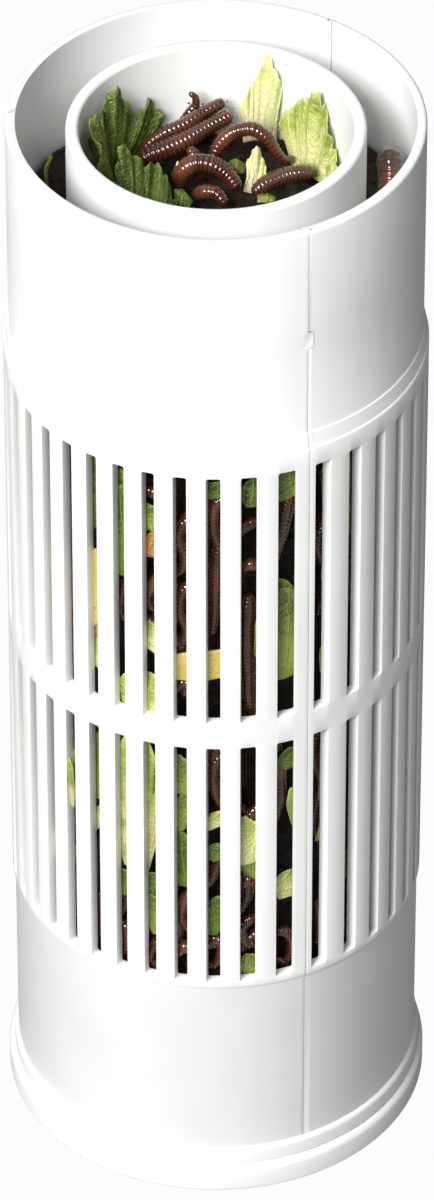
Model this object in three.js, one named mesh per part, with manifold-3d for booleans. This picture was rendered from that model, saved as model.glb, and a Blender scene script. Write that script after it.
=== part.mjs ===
// Wormery: a slotted tube of three wall panels on a base tray, with a lift-out feed sleeve.
// Millimetres, +Z up, front towards -Y, origin at the centre of the flat underside.
// Azimuths are degrees from the front, turning towards +X.
import * as THREE from 'three';
import { mergeVertices } from 'three/addons/utils/BufferGeometryUtils.js';
import Module from 'manifold-3d';

const wasm = await Module();
wasm.setup();

// Outer radius of the housing, and its walls and steps
const slottedRadius = 77;
const wallThickness = 4;
const collarThickness = 3.5;
const collarInset = 2;
const skirtInset = 1;
const footThickness = 1.5;

// Heights of the housing
const trayRimHeight = 11;
const clampHeight = 7.5;
const skirtTop = 100.1;
const lowerSlotSill = 102.8;
const slotLength = 113;
const midBandHeight = 11.6;
const shoulderMargin = 8;
const coneHeight = 6;
const coneRise = 0.6;
const collarHeight = 88;
const rimRounding = 1.2;
const shoulderRounding = 0.8;

// Slots and seams of the three panels
const panelCount = 3;
const seamAzimuth = 24.5;
const slotWidth = 4.5;
const slotPitch = 12.2;
const slotEdge = 7.2;
const slotFanShare = 0.7;
const slotSpreadShare = 0.5;
const slotWideningShare = 0.38;
const lapWidth = 1.4;
const lapThickness = 1;
const tabWidth = 2.2;
const tabHeight = 6.5;
const tabLevel = 392;

// Base tray and clamp ring
const trayStandOut = 2.5;
const trayRounding = 2.4;
const trayFootChamfer = 0.8;
const trayFloor = 5.5;
const panelSeat = 6;
const socketWall = 2.5;
const socketHeight = 20;
const clampStandOut = 0.5;
const clampRounding = 1.8;
const sleeveSocketWall = 2.4;
const sleeveSocketHeight = 12;
const drainCount = 8;
const drainWidth = 4.6;
const drainHubRadius = 14;
const drainEdge = 1.7;
const roundingShare = 0.3;

// Feed sleeve
const ringSpace = 17.9;
const sleeveWall = 4.6;
const sleeveFloor = 3;
const sleeveBelowRim = 2.8;
const sleeveRounding = 1;
const ventCount = 10;
const ventWidth = 6;
const ventLength = 80;
const ventTiers = 3;
const ventFirstSill = 30;
const ventBand = 22;
const floorVentCount = 8;
const floorVentHubRadius = 10;
const floorVentEdge = 11;
const floorVentWidth = 4.2;

// Fits
const clearance = 0.3;
const softClearance = 0.35;
const overrun = 5;

// Bedding, worms and scraps
const ringFreeboard = 38.4;
const coreFreeboard = 34.6;
const waistMargin = 2;
const beddingCrown = 2;
const wormRadiusShare = 0.0878;
const smallWormRadius = 3.4;
const leafThickness = 1.4;
const scrapGap = 0.5;
const carrotRadius = 3.1;
const carrotLength = 62;

// Steps of round shapes
const ringSegments = 48;
const wormSteps = 12;
const wormSides = 8;
const smallWormSteps = 10;
const smallWormSides = 6;

// Radii worked out from the sizes above
const housingBore = slottedRadius - wallThickness;
const collarRadius = slottedRadius - collarInset;
const skirtRadius = slottedRadius - skirtInset;
const footRadius = housingBore + footThickness;
const lapSplitRadius = housingBore + lapThickness;
const trayRadius = slottedRadius + trayStandOut;
const clampRadius = slottedRadius + clampStandOut;
const collarBore = collarRadius - collarThickness;
const sleeveRadius = collarBore - ringSpace;
const sleeveBore = sleeveRadius - sleeveWall;
const coreRadius = sleeveBore - clearance;
const housingFillRadius = housingBore - clearance;
const collarFillRadius = collarBore - clearance;
const ringBeddingRadius = housingFillRadius - leafThickness - scrapGap - 2 * smallWormRadius - clearance;
const wormRadius = sleeveBore * wormRadiusShare;

// As many slots in a row as the panel has room for, with one in the middle
const lastSlotAngle = Math.PI / panelCount - slotEdge / slottedRadius;
const slotsPerRow = 2 * Math.round((lastSlotAngle * slottedRadius) / slotPitch) + 1;

// Levels worked out from the sizes above
const clampBottom = trayRimHeight + clearance;
const clampTop = clampBottom + clampHeight;
const skirtBottom = clampTop + clearance;
const upperSlotSill = lowerSlotSill + slotLength + midBandHeight;
const shoulderTop = upperSlotSill + slotLength + shoulderMargin;
const housingTop = shoulderTop + coneHeight + collarHeight;
const sleeveBottom = trayFloor + clearance;
const sleeveTop = housingTop - sleeveBelowRim;
const ringBeddingTop = housingTop - ringFreeboard;
const coreBeddingTop = sleeveTop - coreFreeboard;
const waistBottom = lowerSlotSill - waistMargin;
const waistTop = shoulderTop + waistMargin;

const full = 2 * Math.PI;
const radians = THREE.MathUtils.degToRad;

// Finishes, one new material for each piece
const finishes = {
  whitePlastic: { color: 0xf4f5f2, roughness: 0.42, metalness: 0 },
  castings: { color: 0x1c1410, roughness: 0.95, metalness: 0 },
  wormSkin: { color: 0x6b3328, roughness: 0.28, metalness: 0 },
  darkLeaf: { color: 0x3f6b1f, roughness: 0.55, metalness: 0 },
  lightLeaf: { color: 0xa9c64a, roughness: 0.5, metalness: 0 },
  paleLeaf: { color: 0xe6e39a, roughness: 0.5, metalness: 0 },
  yellowPeel: { color: 0xd8b23c, roughness: 0.5, metalness: 0 },
  carrot: { color: 0xd9762b, roughness: 0.5, metalness: 0 },
};

// A closed geometry as a solid that can be joined and cut
function solidOf(geometry) {
  const bare = geometry.clone();
  bare.deleteAttribute('normal');
  bare.deleteAttribute('uv');
  const merged = mergeVertices(bare);
  const vertProperties = new Float32Array(merged.attributes.position.array);
  const triVerts = new Uint32Array(merged.index.array);
  return new wasm.Manifold(new wasm.Mesh({ numProp: 3, vertProperties, triVerts }));
}

// A joined and cut solid as a geometry again
function geometryOf(solid) {
  const cut = solid.getMesh();
  const geometry = new THREE.BufferGeometry();
  geometry.setAttribute('position', new THREE.BufferAttribute(new Float32Array(cut.vertProperties), 3));
  geometry.setIndex(new THREE.BufferAttribute(new Uint32Array(cut.triVerts), 1));
  geometry.computeVertexNormals();
  return geometry;
}

// A named mesh in one finish
function piece(name, geometry, finish) {
  const mesh = new THREE.Mesh(geometry, new THREE.MeshStandardMaterial(finishes[finish]));
  mesh.name = name;
  return mesh;
}

// The point at a radius, azimuth and height
function around(radius, azimuth, height) {
  const turn = radians(azimuth);
  return new THREE.Vector3(radius * Math.sin(turn), -radius * Math.cos(turn), height);
}

// A turned solid from a closed outline of [radius, height] pairs
function turned(outline, segments = ringSegments) {
  const points = outline.map(([radius, height]) => new THREE.Vector2(radius, height));
  points.push(points[0].clone());
  const lathe = new THREE.LatheGeometry(points, segments);
  lathe.rotateX(Math.PI / 2);
  return solidOf(lathe);
}

// A ring of rectangular section
function ring(inner, outer, bottom, top) {
  return turned([[inner, bottom], [outer, bottom], [outer, top], [inner, top]]);
}

// A prism over a closed outline in the XY plane
function prism(outline, bottom, top) {
  const shape = new THREE.Shape(outline.map(([x, y]) => new THREE.Vector2(x, y)));
  const body = new THREE.ExtrudeGeometry(shape, { depth: top - bottom, bevelEnabled: false });
  body.translate(0, 0, bottom);
  return solidOf(body);
}

// A wedge from the axis, between two azimuths less than a half turn apart
function wedge(from, to, reach, bottom, top) {
  const middle = (from + to) / 2;
  const far = reach / Math.cos(radians((to - from) / 2));
  const corners = [from, middle, to].map((azimuth) => around(far, azimuth, 0));
  return prism([[0, 0], ...corners.map((corner) => [corner.x, corner.y])], bottom, top);
}

// A box that points outwards at an azimuth, set off sideways along its own face
function facingBox(azimuth, sideways, width, from, to, bottom, top) {
  const box = new THREE.BoxGeometry(width, to - from, top - bottom);
  box.translate(sideways, -(from + to) / 2, (bottom + top) / 2);
  box.rotateZ(radians(azimuth));
  return solidOf(box);
}

// Wall panels: tongue foot, skirt, two rows of slots, shoulder cone and collar
const wallOutline = [
  [housingBore, panelSeat + clearance],
  [footRadius, panelSeat + clearance],
  [footRadius, skirtBottom],
  [skirtRadius, skirtBottom],
  [skirtRadius, skirtTop],
  [slottedRadius, skirtTop],
  [slottedRadius, shoulderTop - shoulderRounding],
  [slottedRadius - shoulderRounding, shoulderTop],
  [collarRadius + coneRise, shoulderTop + coneHeight],
  [collarRadius, shoulderTop + coneHeight],
  [collarRadius, housingTop - rimRounding],
  [collarRadius - rimRounding, housingTop],
  [collarBore, housingTop],
  [collarBore, shoulderTop + coneHeight],
  [housingBore, shoulderTop],
];

// A slot's turn from its panel's centre, spaced partly round the wall and partly across it
function slotTurn(slot) {
  const place = (2 * slot) / (slotsPerRow - 1) - 1;
  const round = place * lastSlotAngle;
  const across = Math.asin(place * Math.sin(lastSlotAngle));
  return THREE.MathUtils.lerp(round, across, slotSpreadShare);
}

// The cut of one slot, turned back a little towards the panel's draw and wider near its edges
function slotCutter(centre, slot, sill) {
  const turn = slotTurn(slot);
  const facing = turn * slotFanShare;
  const sideways = slottedRadius * Math.sin(turn - facing);
  const width = slotWidth * (1 + slotWideningShare * (turn / lastSlotAngle) ** 2);
  const azimuth = centre + THREE.MathUtils.radToDeg(facing);
  const reach = slottedRadius + overrun;
  return facingBox(azimuth, sideways, width, sleeveBore, reach, sill, sill + slotLength);
}

function wallPanel(index) {
  const start = seamAzimuth + (index - 1) * (360 / panelCount);
  const end = start + 360 / panelCount;
  const centre = (start + end) / 2;
  const lapAngle = THREE.MathUtils.radToDeg(lapWidth / slottedRadius);
  const gapAngle = THREE.MathUtils.radToDeg(clearance / housingBore);
  const reach = slottedRadius + overrun;
  const top = housingTop + overrun;
  const wall = turned(wallOutline);
  const outerHalf = wall.subtract(ring(housingBore - overrun, lapSplitRadius + clearance / 2, 0, top));
  const innerHalf = wall.intersect(ring(housingBore - overrun, lapSplitRadius - clearance / 2, 0, top));
  const middle = wall.intersect(wedge(start + lapAngle + gapAngle, end, reach, 0, top));
  const tongue = outerHalf.intersect(wedge(centre, end + lapAngle, reach, skirtBottom, top));
  const underlap = innerHalf.intersect(wedge(start + gapAngle, centre, reach, 0, top));
  let panel = middle.add(tongue).add(underlap);
  const tabTurn = THREE.MathUtils.radToDeg(tabWidth / collarRadius);
  const tabAzimuth = end + lapAngle;
  const tabPlan = wedge(centre, tabAzimuth + tabTurn, reach, tabLevel, tabLevel + tabHeight);
  const notchPlan = wedge(
    start,
    start + lapAngle + tabTurn + gapAngle,
    reach,
    tabLevel - clearance,
    tabLevel + tabHeight + clearance,
  );
  panel = panel.add(outerHalf.intersect(tabPlan));
  panel = panel.subtract(outerHalf.intersect(notchPlan));
  for (const sill of [lowerSlotSill, upperSlotSill]) {
    for (let slot = 0; slot < slotsPerRow; slot += 1) {
      panel = panel.subtract(slotCutter(centre, slot, sill));
    }
  }
  return piece(`wall_panel_${index + 1}`, geometryOf(panel), 'whitePlastic');
}

// Clamp ring: holds the feet of the panels, standing on the tray rim
function clampRing() {
  const inner = footRadius + clearance;
  const outline = [
    [inner, clampBottom],
    [clampRadius, clampBottom],
    [clampRadius, clampTop - clampRounding],
    [clampRadius - clampRounding * roundingShare, clampTop - clampRounding * roundingShare],
    [clampRadius - clampRounding, clampTop],
    [inner, clampTop],
  ];
  return piece('clamp_ring', geometryOf(turned(outline)), 'whitePlastic');
}

// Base tray: floor with drain slots, rim, socket for the panels and socket for the sleeve
function baseTray() {
  const socketOuter = housingBore - clearance;
  const socketInner = socketOuter - socketWall;
  const rimInner = footRadius + clearance;
  const sleeveSocketInner = sleeveRadius + clearance;
  const sleeveSocketOuter = sleeveSocketInner + sleeveSocketWall;
  const outline = [
    [0, 0],
    [trayRadius - trayFootChamfer, 0],
    [trayRadius, trayFootChamfer],
    [trayRadius, trayRimHeight - trayRounding],
    [trayRadius - trayRounding * roundingShare, trayRimHeight - trayRounding * roundingShare],
    [trayRadius - trayRounding, trayRimHeight],
    [rimInner, trayRimHeight],
    [rimInner, panelSeat],
    [socketOuter, panelSeat],
    [socketOuter, trayFloor + socketHeight],
    [socketInner, trayFloor + socketHeight],
    [socketInner, trayFloor],
    [sleeveSocketOuter, trayFloor],
    [sleeveSocketOuter, trayFloor + sleeveSocketHeight],
    [sleeveSocketInner, trayFloor + sleeveSocketHeight],
    [sleeveSocketInner, trayFloor],
    [0, trayFloor],
  ];
  let tray = turned(outline);
  const drainRuns = [
    [drainHubRadius, sleeveBore - overrun],
    [sleeveSocketOuter + drainEdge, socketInner - drainEdge],
  ];
  for (let drain = 0; drain < drainCount; drain += 1) {
    const azimuth = (drain * 360) / drainCount;
    for (const [from, to] of drainRuns) {
      const slit = facingBox(azimuth, 0, drainWidth, from, to, -overrun, trayFloor + overrun);
      tray = tray.subtract(slit);
    }
  }
  return piece('base_tray', geometryOf(tray), 'whitePlastic');
}

// Feed sleeve: tube with a vented wall and a slotted floor
function feedSleeve() {
  const floorTop = sleeveBottom + sleeveFloor;
  const outline = [
    [0, sleeveBottom],
    [sleeveRadius - sleeveRounding, sleeveBottom],
    [sleeveRadius, sleeveBottom + sleeveRounding],
    [sleeveRadius, sleeveTop - sleeveRounding],
    [sleeveRadius - sleeveRounding, sleeveTop],
    [sleeveBore + sleeveRounding, sleeveTop],
    [sleeveBore, sleeveTop - sleeveRounding],
    [sleeveBore, floorTop],
    [0, floorTop],
  ];
  let sleeve = turned(outline);
  for (let tier = 0; tier < ventTiers; tier += 1) {
    const sill = ventFirstSill + tier * (ventLength + ventBand);
    for (let vent = 0; vent < ventCount; vent += 1) {
      const azimuth = ((vent + (tier % 2) / 2) * 360) / ventCount;
      const reach = sleeveRadius + overrun;
      const inside = sleeveBore - overrun;
      sleeve = sleeve.subtract(facingBox(azimuth, 0, ventWidth, inside, reach, sill, sill + ventLength));
    }
  }
  const floorVentEnd = sleeveBore - floorVentEdge;
  for (let vent = 0; vent < floorVentCount; vent += 1) {
    const azimuth = (vent * 360) / floorVentCount;
    const upper = floorTop + overrun;
    const slit = facingBox(azimuth, 0, floorVentWidth, floorVentHubRadius, floorVentEnd, 0, upper);
    sleeve = sleeve.subtract(slit);
  }
  return piece('feed_sleeve', geometryOf(sleeve), 'whitePlastic');
}

// A worm: a tube along a smooth line through the points, thinner towards both ends
const taperShares = [0.55, 0.86, 1];
const tailShare = 0.42;

function wormSolid(points, radius, steps, sides, tail = tailShare) {
  const line = new THREE.CatmullRomCurve3(points);
  const section = new THREE.Shape();
  section.absarc(0, 0, radius, 0, full);
  const tube = new THREE.ExtrudeGeometry(section, {
    steps,
    extrudePath: line,
    curveSegments: sides / 2,
    bevelEnabled: false,
  });
  const stations = line.getSpacedPoints(steps);
  const place = tube.attributes.position;
  const vertex = new THREE.Vector3();
  for (let corner = 0; corner < place.count; corner += 1) {
    vertex.fromBufferAttribute(place, corner);
    const gaps = stations.map((station) => station.distanceTo(vertex));
    const nearest = gaps.indexOf(Math.min(...gaps));
    const head = taperShares[Math.min(nearest, taperShares.length - 1)];
    const tailRun = (steps - nearest) / (steps / 2);
    const thin = Math.min(head, tail + (1 - tail) * Math.min(1, tailRun));
    vertex.sub(stations[nearest]).multiplyScalar(thin).add(stations[nearest]);
    place.setXYZ(corner, vertex.x, vertex.y, vertex.z);
  }
  return solidOf(tube);
}

// Worms in the mouth of the sleeve: [across, back, lift] as shares of the bore radius,
// the bore radius and the worm's radius above the bedding
const mouthWormShares = {
  worm_mouth_1: [
    [-0.6, 0.44, 0.1], [-0.5, 0.46, 1.1], [-0.38, 0.49, 1.6], [-0.22, 0.56, 2], [-0.04, 0.68, 2.5],
    [0.12, 0.76, 3],
  ],
  worm_mouth_2: [
    [-0.3, 0.8, -0.5], [-0.25, 0.82, 1.4], [-0.19, 0.84, 2.6], [-0.15, 0.85, 3.3], [-0.155, 0.855, 4],
    [-0.2, 0.86, 4.4],
  ],
  worm_mouth_3: [
    [-0.04, 0.47, -0.1], [-0.02, 0.47, 0.9], [0.03, 0.49, 2.2], [0.13, 0.51, 3.2], [0.27, 0.5, 3.6],
    [0.38, 0.47, 2.8], [0.44, 0.45, 1.7], [0.51, 0.45, 0.8], [0.57, 0.5, 0.7],
  ],
  worm_mouth_4: [
    [-0.285, 0.19, -0.1], [-0.256, 0.21, 1.5], [-0.155, 0.22, 2.4], [-0.04, 0.21, 2.4],
    [0.076, 0.19, 1.6], [0.162, 0.14, 0.5],
  ],
  worm_mouth_5: [
    [0.27, 0.08, 0.5], [0.364, 0.16, 0.8], [0.508, 0.25, 0.9], [0.652, 0.29, 0.9], [0.71, 0.31, 0.6],
  ],
  worm_mouth_6: [[-0.2, 0.414, 2.4], [-0.155, 0.37, 1.8], [-0.13, 0.35, 0.8], [-0.12, 0.34, -0.1]],
  worm_mouth_7: [[-0.16, 0.1, 0.2], [-0.08, 0.05, 0.9], [0, 0.02, 1], [0.07, -0.04, 0.3]],
  worm_mouth_8: [[0.66, -0.02, 0.5], [0.62, -0.26, 0.8], [0.46, -0.44, 0.7], [0.4, -0.64, 0.5]],
  worm_mouth_9: [[-0.52, -0.5, 0.5], [-0.36, -0.64, 0.8], [-0.12, -0.72, 0.8], [0.1, -0.68, 0.5]],
  worm_mouth_10: [
    [-0.56, 0.58, -0.2], [-0.48, 0.61, 1.3], [-0.38, 0.63, 2.1], [-0.22, 0.69, 2.6], [-0.08, 0.78, 3.1],
    [0.06, 0.85, 3.6],
  ],
};
const mouthWormRadiusShares = [0.8, 0.42, 0.58, 0.75, 0.7, 0.6, 0.6, 0.9, 0.9, 0.6];

function mouthWorm(name, order, growth = 0) {
  const radius = wormRadius * mouthWormRadiusShares[order];
  const points = mouthWormShares[name].map(([across, back, lift]) => new THREE.Vector3(
    across * sleeveBore,
    back * sleeveBore,
    coreBeddingTop + lift * wormRadius,
  ));
  return wormSolid(points, radius + growth, wormSteps, wormSides);
}

// Worms behind the slots: [azimuth, height] with the height as a share of the bedding's waist
const slotWormShares = {
  worm_slot_1: [[27, 0.935], [22, 0.87], [18.5, 0.799], [16, 0.742]],
  worm_slot_2: [[10, 0.718], [9, 0.647], [9.5, 0.577], [10.5, 0.509], [15, 0.47]],
  worm_slot_3: [[13, 0.851], [7, 0.842], [1.5, 0.81], [0, 0.75], [-0.5, 0.685], [-1.5, 0.645]],
  worm_slot_4: [[-5, 0.87], [-10, 0.846], [-16, 0.799], [-14, 0.742], [-8.5, 0.718]],
  worm_slot_5: [[-24, 0.669], [-17, 0.645], [-11, 0.622], [-9, 0.574], [-10, 0.525]],
  worm_slot_6: [[18, 0.446], [19.5, 0.378], [19, 0.31], [15, 0.25]],
  worm_slot_7: [[3, 0.462], [-1, 0.414], [1, 0.357], [7, 0.318], [11.5, 0.287]],
  worm_slot_8: [[-6, 0.158], [-2, 0.197], [3, 0.226], [8, 0.205], [10, 0.158], [7, 0.109]],
  worm_slot_9: [[-15, 0.245], [-12.5, 0.197], [-14.5, 0.142], [-12, 0.085], [-13.5, 0.028]],
  worm_slot_10: [[-5, 0.045], [0, 0.061], [7, 0.045], [13, 0.066], [20, 0.049]],
  worm_slot_11: [[-40, 0.045], [-34, 0.069], [-28, 0.117], [-24, 0.074], [-21, 0.03]],
  worm_slot_12: [[-50, 0.397], [-44, 0.357], [-38, 0.318], [-40, 0.253], [-46, 0.197]],
  worm_slot_13: [[34, 0.919], [38, 0.846], [33, 0.783], [37, 0.718], [33, 0.647]],
  worm_slot_14: [[36, 0.457], [31, 0.397], [35, 0.333], [32, 0.261], [36, 0.197]],
  worm_slot_15: [[96, 0.891], [102, 0.826], [97, 0.753], [104, 0.689], [100, 0.616]],
  worm_slot_16: [[112, 0.341], [104, 0.292], [110, 0.227], [103, 0.163], [108, 0.082]],
  worm_slot_17: [[158, 0.729], [166, 0.762], [174, 0.713], [180, 0.632], [176, 0.551]],
  worm_slot_18: [[196, 0.276], [188, 0.244], [182, 0.179], [174, 0.163], [166, 0.098]],
  worm_slot_19: [[236, 0.875], [242, 0.81], [237, 0.745], [244, 0.681], [240, 0.6]],
  worm_slot_20: [[252, 0.325], [246, 0.26], [252, 0.195], [247, 0.13], [253, 0.066]],
};

const slotWormLane = ringBeddingRadius + clearance + smallWormRadius;

function waistLevel(share) {
  return THREE.MathUtils.lerp(waistBottom, waistTop, share);
}

function slotWorm(name) {
  const points = slotWormShares[name].map(([azimuth, share]) => (
    around(slotWormLane, azimuth, waistLevel(share))
  ));
  return wormSolid(points, smallWormRadius, smallWormSteps, smallWormSides);
}

// Worms on the bedding ring, between the sleeve and the housing: [azimuth, lift] with the
// lift as a share of the worm's radius
const ringLane = (sleeveRadius + collarBore) / 2;
const ringWormShares = {
  worm_ring_1: [[88, -0.2], [91, 1.9], [97, 3.5], [103, 2], [106, -0.2]],
  worm_ring_2: [[172, 0.6], [180, 0.9], [190, 0.7], [199, 0.9], [208, 0.6]],
};

function ringWorm(name, growth = 0) {
  const points = ringWormShares[name].map(([azimuth, lift]) => (
    around(ringLane, azimuth, ringBeddingTop + lift * wormRadius)
  ));
  return wormSolid(points, wormRadius + growth, smallWormSteps, wormSides);
}

// Leaf outlines as shares of half the width and of the height
const leafShares = {
  frilly: [
    [-0.35, 0], [0.35, 0], [0.75, 0.22], [0.62, 0.34], [1, 0.52], [0.78, 0.62], [0.86, 0.8], [0.5, 0.78],
    [0.25, 1], [-0.1, 0.84], [-0.55, 0.94], [-0.62, 0.72], [-1, 0.66], [-0.72, 0.42], [-0.9, 0.26],
  ],
  spear: [
    [-0.8, 0], [0.85, 0], [1, 0.3], [0.75, 0.62], [0.55, 0.88], [0.2, 1], [-0.15, 0.9], [-0.6, 0.55],
    [-1, 0.25],
  ],
  lettuce: [
    [-0.7, 0], [0.8, 0], [1, 0.2], [0.88, 0.45], [0.55, 0.9], [0.35, 1], [-0.05, 0.88], [-0.35, 0.8],
    [-0.4, 0.7], [-0.9, 0.66], [-0.95, 0.5], [-0.6, 0.35],
  ],
  peel: [[-0.9, 0.2], [0.2, 0], [1, 0.3], [0.9, 0.8], [0.1, 1], [-0.8, 0.75]],
  scrap: [[-0.6, 0], [0.5, 0.08], [1, 0.4], [0.5, 1], [-0.4, 0.85], [-1, 0.45]],
};

// Leaves and peels: curved plates cut from an upright shell round the axis
const rootDepth = 6;
const mouthLeafInset = 2.8;
const ringLeafStandOff = 7.6;

const frillyWidth = 30;
const frillyHeight = 38;
const frontLeafWidth = 20;
const frontLeafHeight = 26;
const lowLeafSize = 18;
const endiveWidth = 14;
const endiveHeight = 40;
const lettuceWidth = 24;
const lettuceHeight = 34;
const shardWidth = 7;
const shardHeight = 22;
const ringLeafWidth = 9;
const ringLeafHeight = 24;
const slotLeafWidth = 20;
const slotLeafShare = 0.372;
const frondShare = 0.593;
const scrapShare = 0.212;
const peelWidth = 22;
const peelHeight = 16;
const scrapWidth = 13;
const slotLeafHeight = slotLength * slotLeafShare;
const frondHeight = slotLength * frondShare;
const scrapHeight = slotLength * scrapShare;

// Outline, width, height and finish of each leaf and peel
const leafKinds = {
  leaf_mouth_1: ['frilly', frillyWidth, frillyHeight, 'darkLeaf'],
  leaf_mouth_2: ['frilly', frontLeafWidth, frontLeafHeight, 'darkLeaf'],
  leaf_mouth_3: ['frilly', lowLeafSize, lowLeafSize, 'darkLeaf'],
  endive_leaf: ['spear', endiveWidth, endiveHeight, 'paleLeaf'],
  lettuce_leaf: ['lettuce', lettuceWidth, lettuceHeight, 'lightLeaf'],
  endive_shard: ['spear', shardWidth, shardHeight, 'paleLeaf'],
  leaf_ring_1: ['scrap', ringLeafWidth, ringLeafHeight, 'darkLeaf'],
  leaf_slot_1: ['frilly', slotLeafWidth, slotLeafHeight, 'darkLeaf'],
  leaf_slot_2: ['scrap', peelWidth, scrapHeight, 'darkLeaf'],
  leaf_slot_3: ['lettuce', slotLeafWidth, scrapHeight, 'lightLeaf'],
  leaf_slot_4: ['frilly', scrapWidth, slotLeafHeight, 'darkLeaf'],
  leaf_slot_5: ['frilly', slotLeafWidth, frondHeight, 'lightLeaf'],
  leaf_slot_6: ['scrap', scrapWidth, scrapHeight, 'lightLeaf'],
  leaf_slot_7: ['scrap', scrapWidth, scrapHeight, 'lightLeaf'],
  leaf_slot_8: ['frilly', slotLeafWidth, slotLeafHeight, 'darkLeaf'],
  leaf_slot_9: ['lettuce', slotLeafWidth, slotLeafHeight, 'lightLeaf'],
  peel_slot_1: ['peel', peelWidth, peelHeight, 'yellowPeel'],
  peel_slot_2: ['peel', scrapWidth, slotLeafHeight, 'yellowPeel'],
  peel_slot_3: ['peel', peelWidth, peelHeight, 'yellowPeel'],
};

// A leaf or peel of its kind at an azimuth, a foot level and an outer radius
function leaf(name, azimuth, bottom, radius) {
  const [outline, width, height, finish] = leafKinds[name];
  return { outline, width, height, finish, azimuth, bottom, radius };
}

// Leaves in the mouth: [azimuth, outer radius as a share of that of a leaf at the wall]
const mouthLeafShares = {
  leaf_mouth_1: [-127, 1],
  leaf_mouth_2: [-100, 0.87],
  leaf_mouth_3: [-86, 0.66],
  endive_leaf: [158.7, 1],
  lettuce_leaf: [125, 1],
  endive_shard: [138, 0.4],
};

function mouthLeaf(name) {
  const [azimuth, share] = mouthLeafShares[name];
  return leaf(name, azimuth, coreBeddingTop - rootDepth, share * (sleeveBore - mouthLeafInset));
}

// The leaf on the bedding ring: [azimuth]
const ringLeafShares = { leaf_ring_1: [-95.8] };

function ringLeaf(name) {
  const [azimuth] = ringLeafShares[name];
  return leaf(name, azimuth, ringBeddingTop - rootDepth, sleeveRadius + ringLeafStandOff);
}

// Leaves and peels behind the slots: [azimuth, height of the middle as a share of the waist]
const slotLeafShares = {
  leaf_slot_1: [19, 0.651],
  leaf_slot_2: [17, 0.939],
  leaf_slot_3: [-22, 0.526],
  leaf_slot_4: [-27, 0.829],
  leaf_slot_5: [-24, 0.329],
  leaf_slot_6: [-45, 0.324],
  leaf_slot_7: [9, 0.267],
  leaf_slot_8: [125, 0.49],
  leaf_slot_9: [172, 0.392],
  peel_slot_1: [-5, 0.603],
  peel_slot_2: [-39, 0.7],
  peel_slot_3: [214, 0.632],
};

function slotLeaf(name) {
  const [azimuth, share] = slotLeafShares[name];
  const [, , height] = leafKinds[name];
  return leaf(name, azimuth, waistLevel(share) - height / 2, housingFillRadius);
}

function plate({ outline, azimuth, width, height, bottom, radius }, growth = 0) {
  const shell = ring(radius - leafThickness - growth, radius + growth, 0, housingTop);
  const corners = leafShares[outline].map(([across, up]) => new THREE.Vector2(
    across * (width / 2 + growth),
    up * (height + 2 * growth) - growth,
  ));
  const depth = radius + overrun;
  const body = new THREE.ExtrudeGeometry(new THREE.Shape(corners), { depth, bevelEnabled: false });
  body.rotateX(Math.PI / 2);
  body.translate(0, 0, bottom);
  body.rotateZ(radians(azimuth));
  return shell.intersect(solidOf(body));
}

function leafPiece(name, scrap) {
  return piece(name, geometryOf(plate(scrap)), scrap.finish);
}

// Bedding ring of castings round the sleeve, with a waist behind the slots for worms and scraps
function beddingRing() {
  const inner = sleeveRadius + clearance;
  const pastSleeveSocket = inner + sleeveSocketWall + clearance;
  const sleeveSocketTop = trayFloor + sleeveSocketHeight + clearance;
  const insidePanelSocket = housingFillRadius - socketWall - clearance;
  const panelSocketTop = trayFloor + socketHeight + clearance;
  const bottom = trayFloor + clearance;
  const outline = [
    [pastSleeveSocket, bottom],
    [insidePanelSocket, bottom],
    [insidePanelSocket, panelSocketTop],
    [housingFillRadius, panelSocketTop],
    [housingFillRadius, waistBottom],
    [ringBeddingRadius, waistBottom],
    [ringBeddingRadius, waistTop],
    [collarFillRadius, waistTop],
    [collarFillRadius, ringBeddingTop - beddingCrown],
    [ringLane, ringBeddingTop],
    [inner, ringBeddingTop - beddingCrown],
    [inner, sleeveSocketTop],
    [pastSleeveSocket, sleeveSocketTop],
  ];
  let bedding = turned(outline);
  for (const name of Object.keys(ringWormShares)) {
    bedding = bedding.subtract(ringWorm(name, softClearance));
  }
  for (const name of Object.keys(ringLeafShares)) {
    bedding = bedding.subtract(plate(ringLeaf(name), softClearance));
  }
  return piece('bedding_ring', geometryOf(bedding), 'castings');
}

// Bedding core of castings in the sleeve, hollowed where worms and leaves sit in it
function beddingCore() {
  const bottom = sleeveBottom + sleeveFloor + clearance;
  const outline = [
    [0, bottom],
    [coreRadius, bottom],
    [coreRadius, coreBeddingTop - beddingCrown],
    [0, coreBeddingTop],
  ];
  let bedding = turned(outline, ringSegments / 2);
  Object.keys(mouthWormShares).forEach((name, order) => {
    bedding = bedding.subtract(mouthWorm(name, order, softClearance));
  });
  for (const name of Object.keys(mouthLeafShares)) {
    bedding = bedding.subtract(plate(mouthLeaf(name), softClearance));
  }
  return piece('bedding_core', geometryOf(bedding), 'castings');
}

// Carrot stick standing behind a slot
const carrotAzimuth = -52;
const carrotShare = 0.7;
const carrotTipShare = 0.7;

function carrotStick() {
  const stick = new THREE.CylinderGeometry(
    carrotRadius * carrotTipShare,
    carrotRadius,
    carrotLength,
    wormSides,
  );
  stick.rotateX(Math.PI / 2);
  const foot = around(
    ringBeddingRadius + clearance + carrotRadius,
    carrotAzimuth,
    waistLevel(carrotShare),
  );
  stick.translate(foot.x, foot.y, foot.z);
  return piece('carrot_stick', stick, 'carrot');
}

// Assembly
const wormery = new THREE.Group();
wormery.name = 'wormery';

wormery.add(baseTray());

const housing = new THREE.Group();
housing.add(clampRing());
for (let index = 0; index < panelCount; index += 1) {
  housing.add(wallPanel(index));
}
wormery.add(housing);

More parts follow.
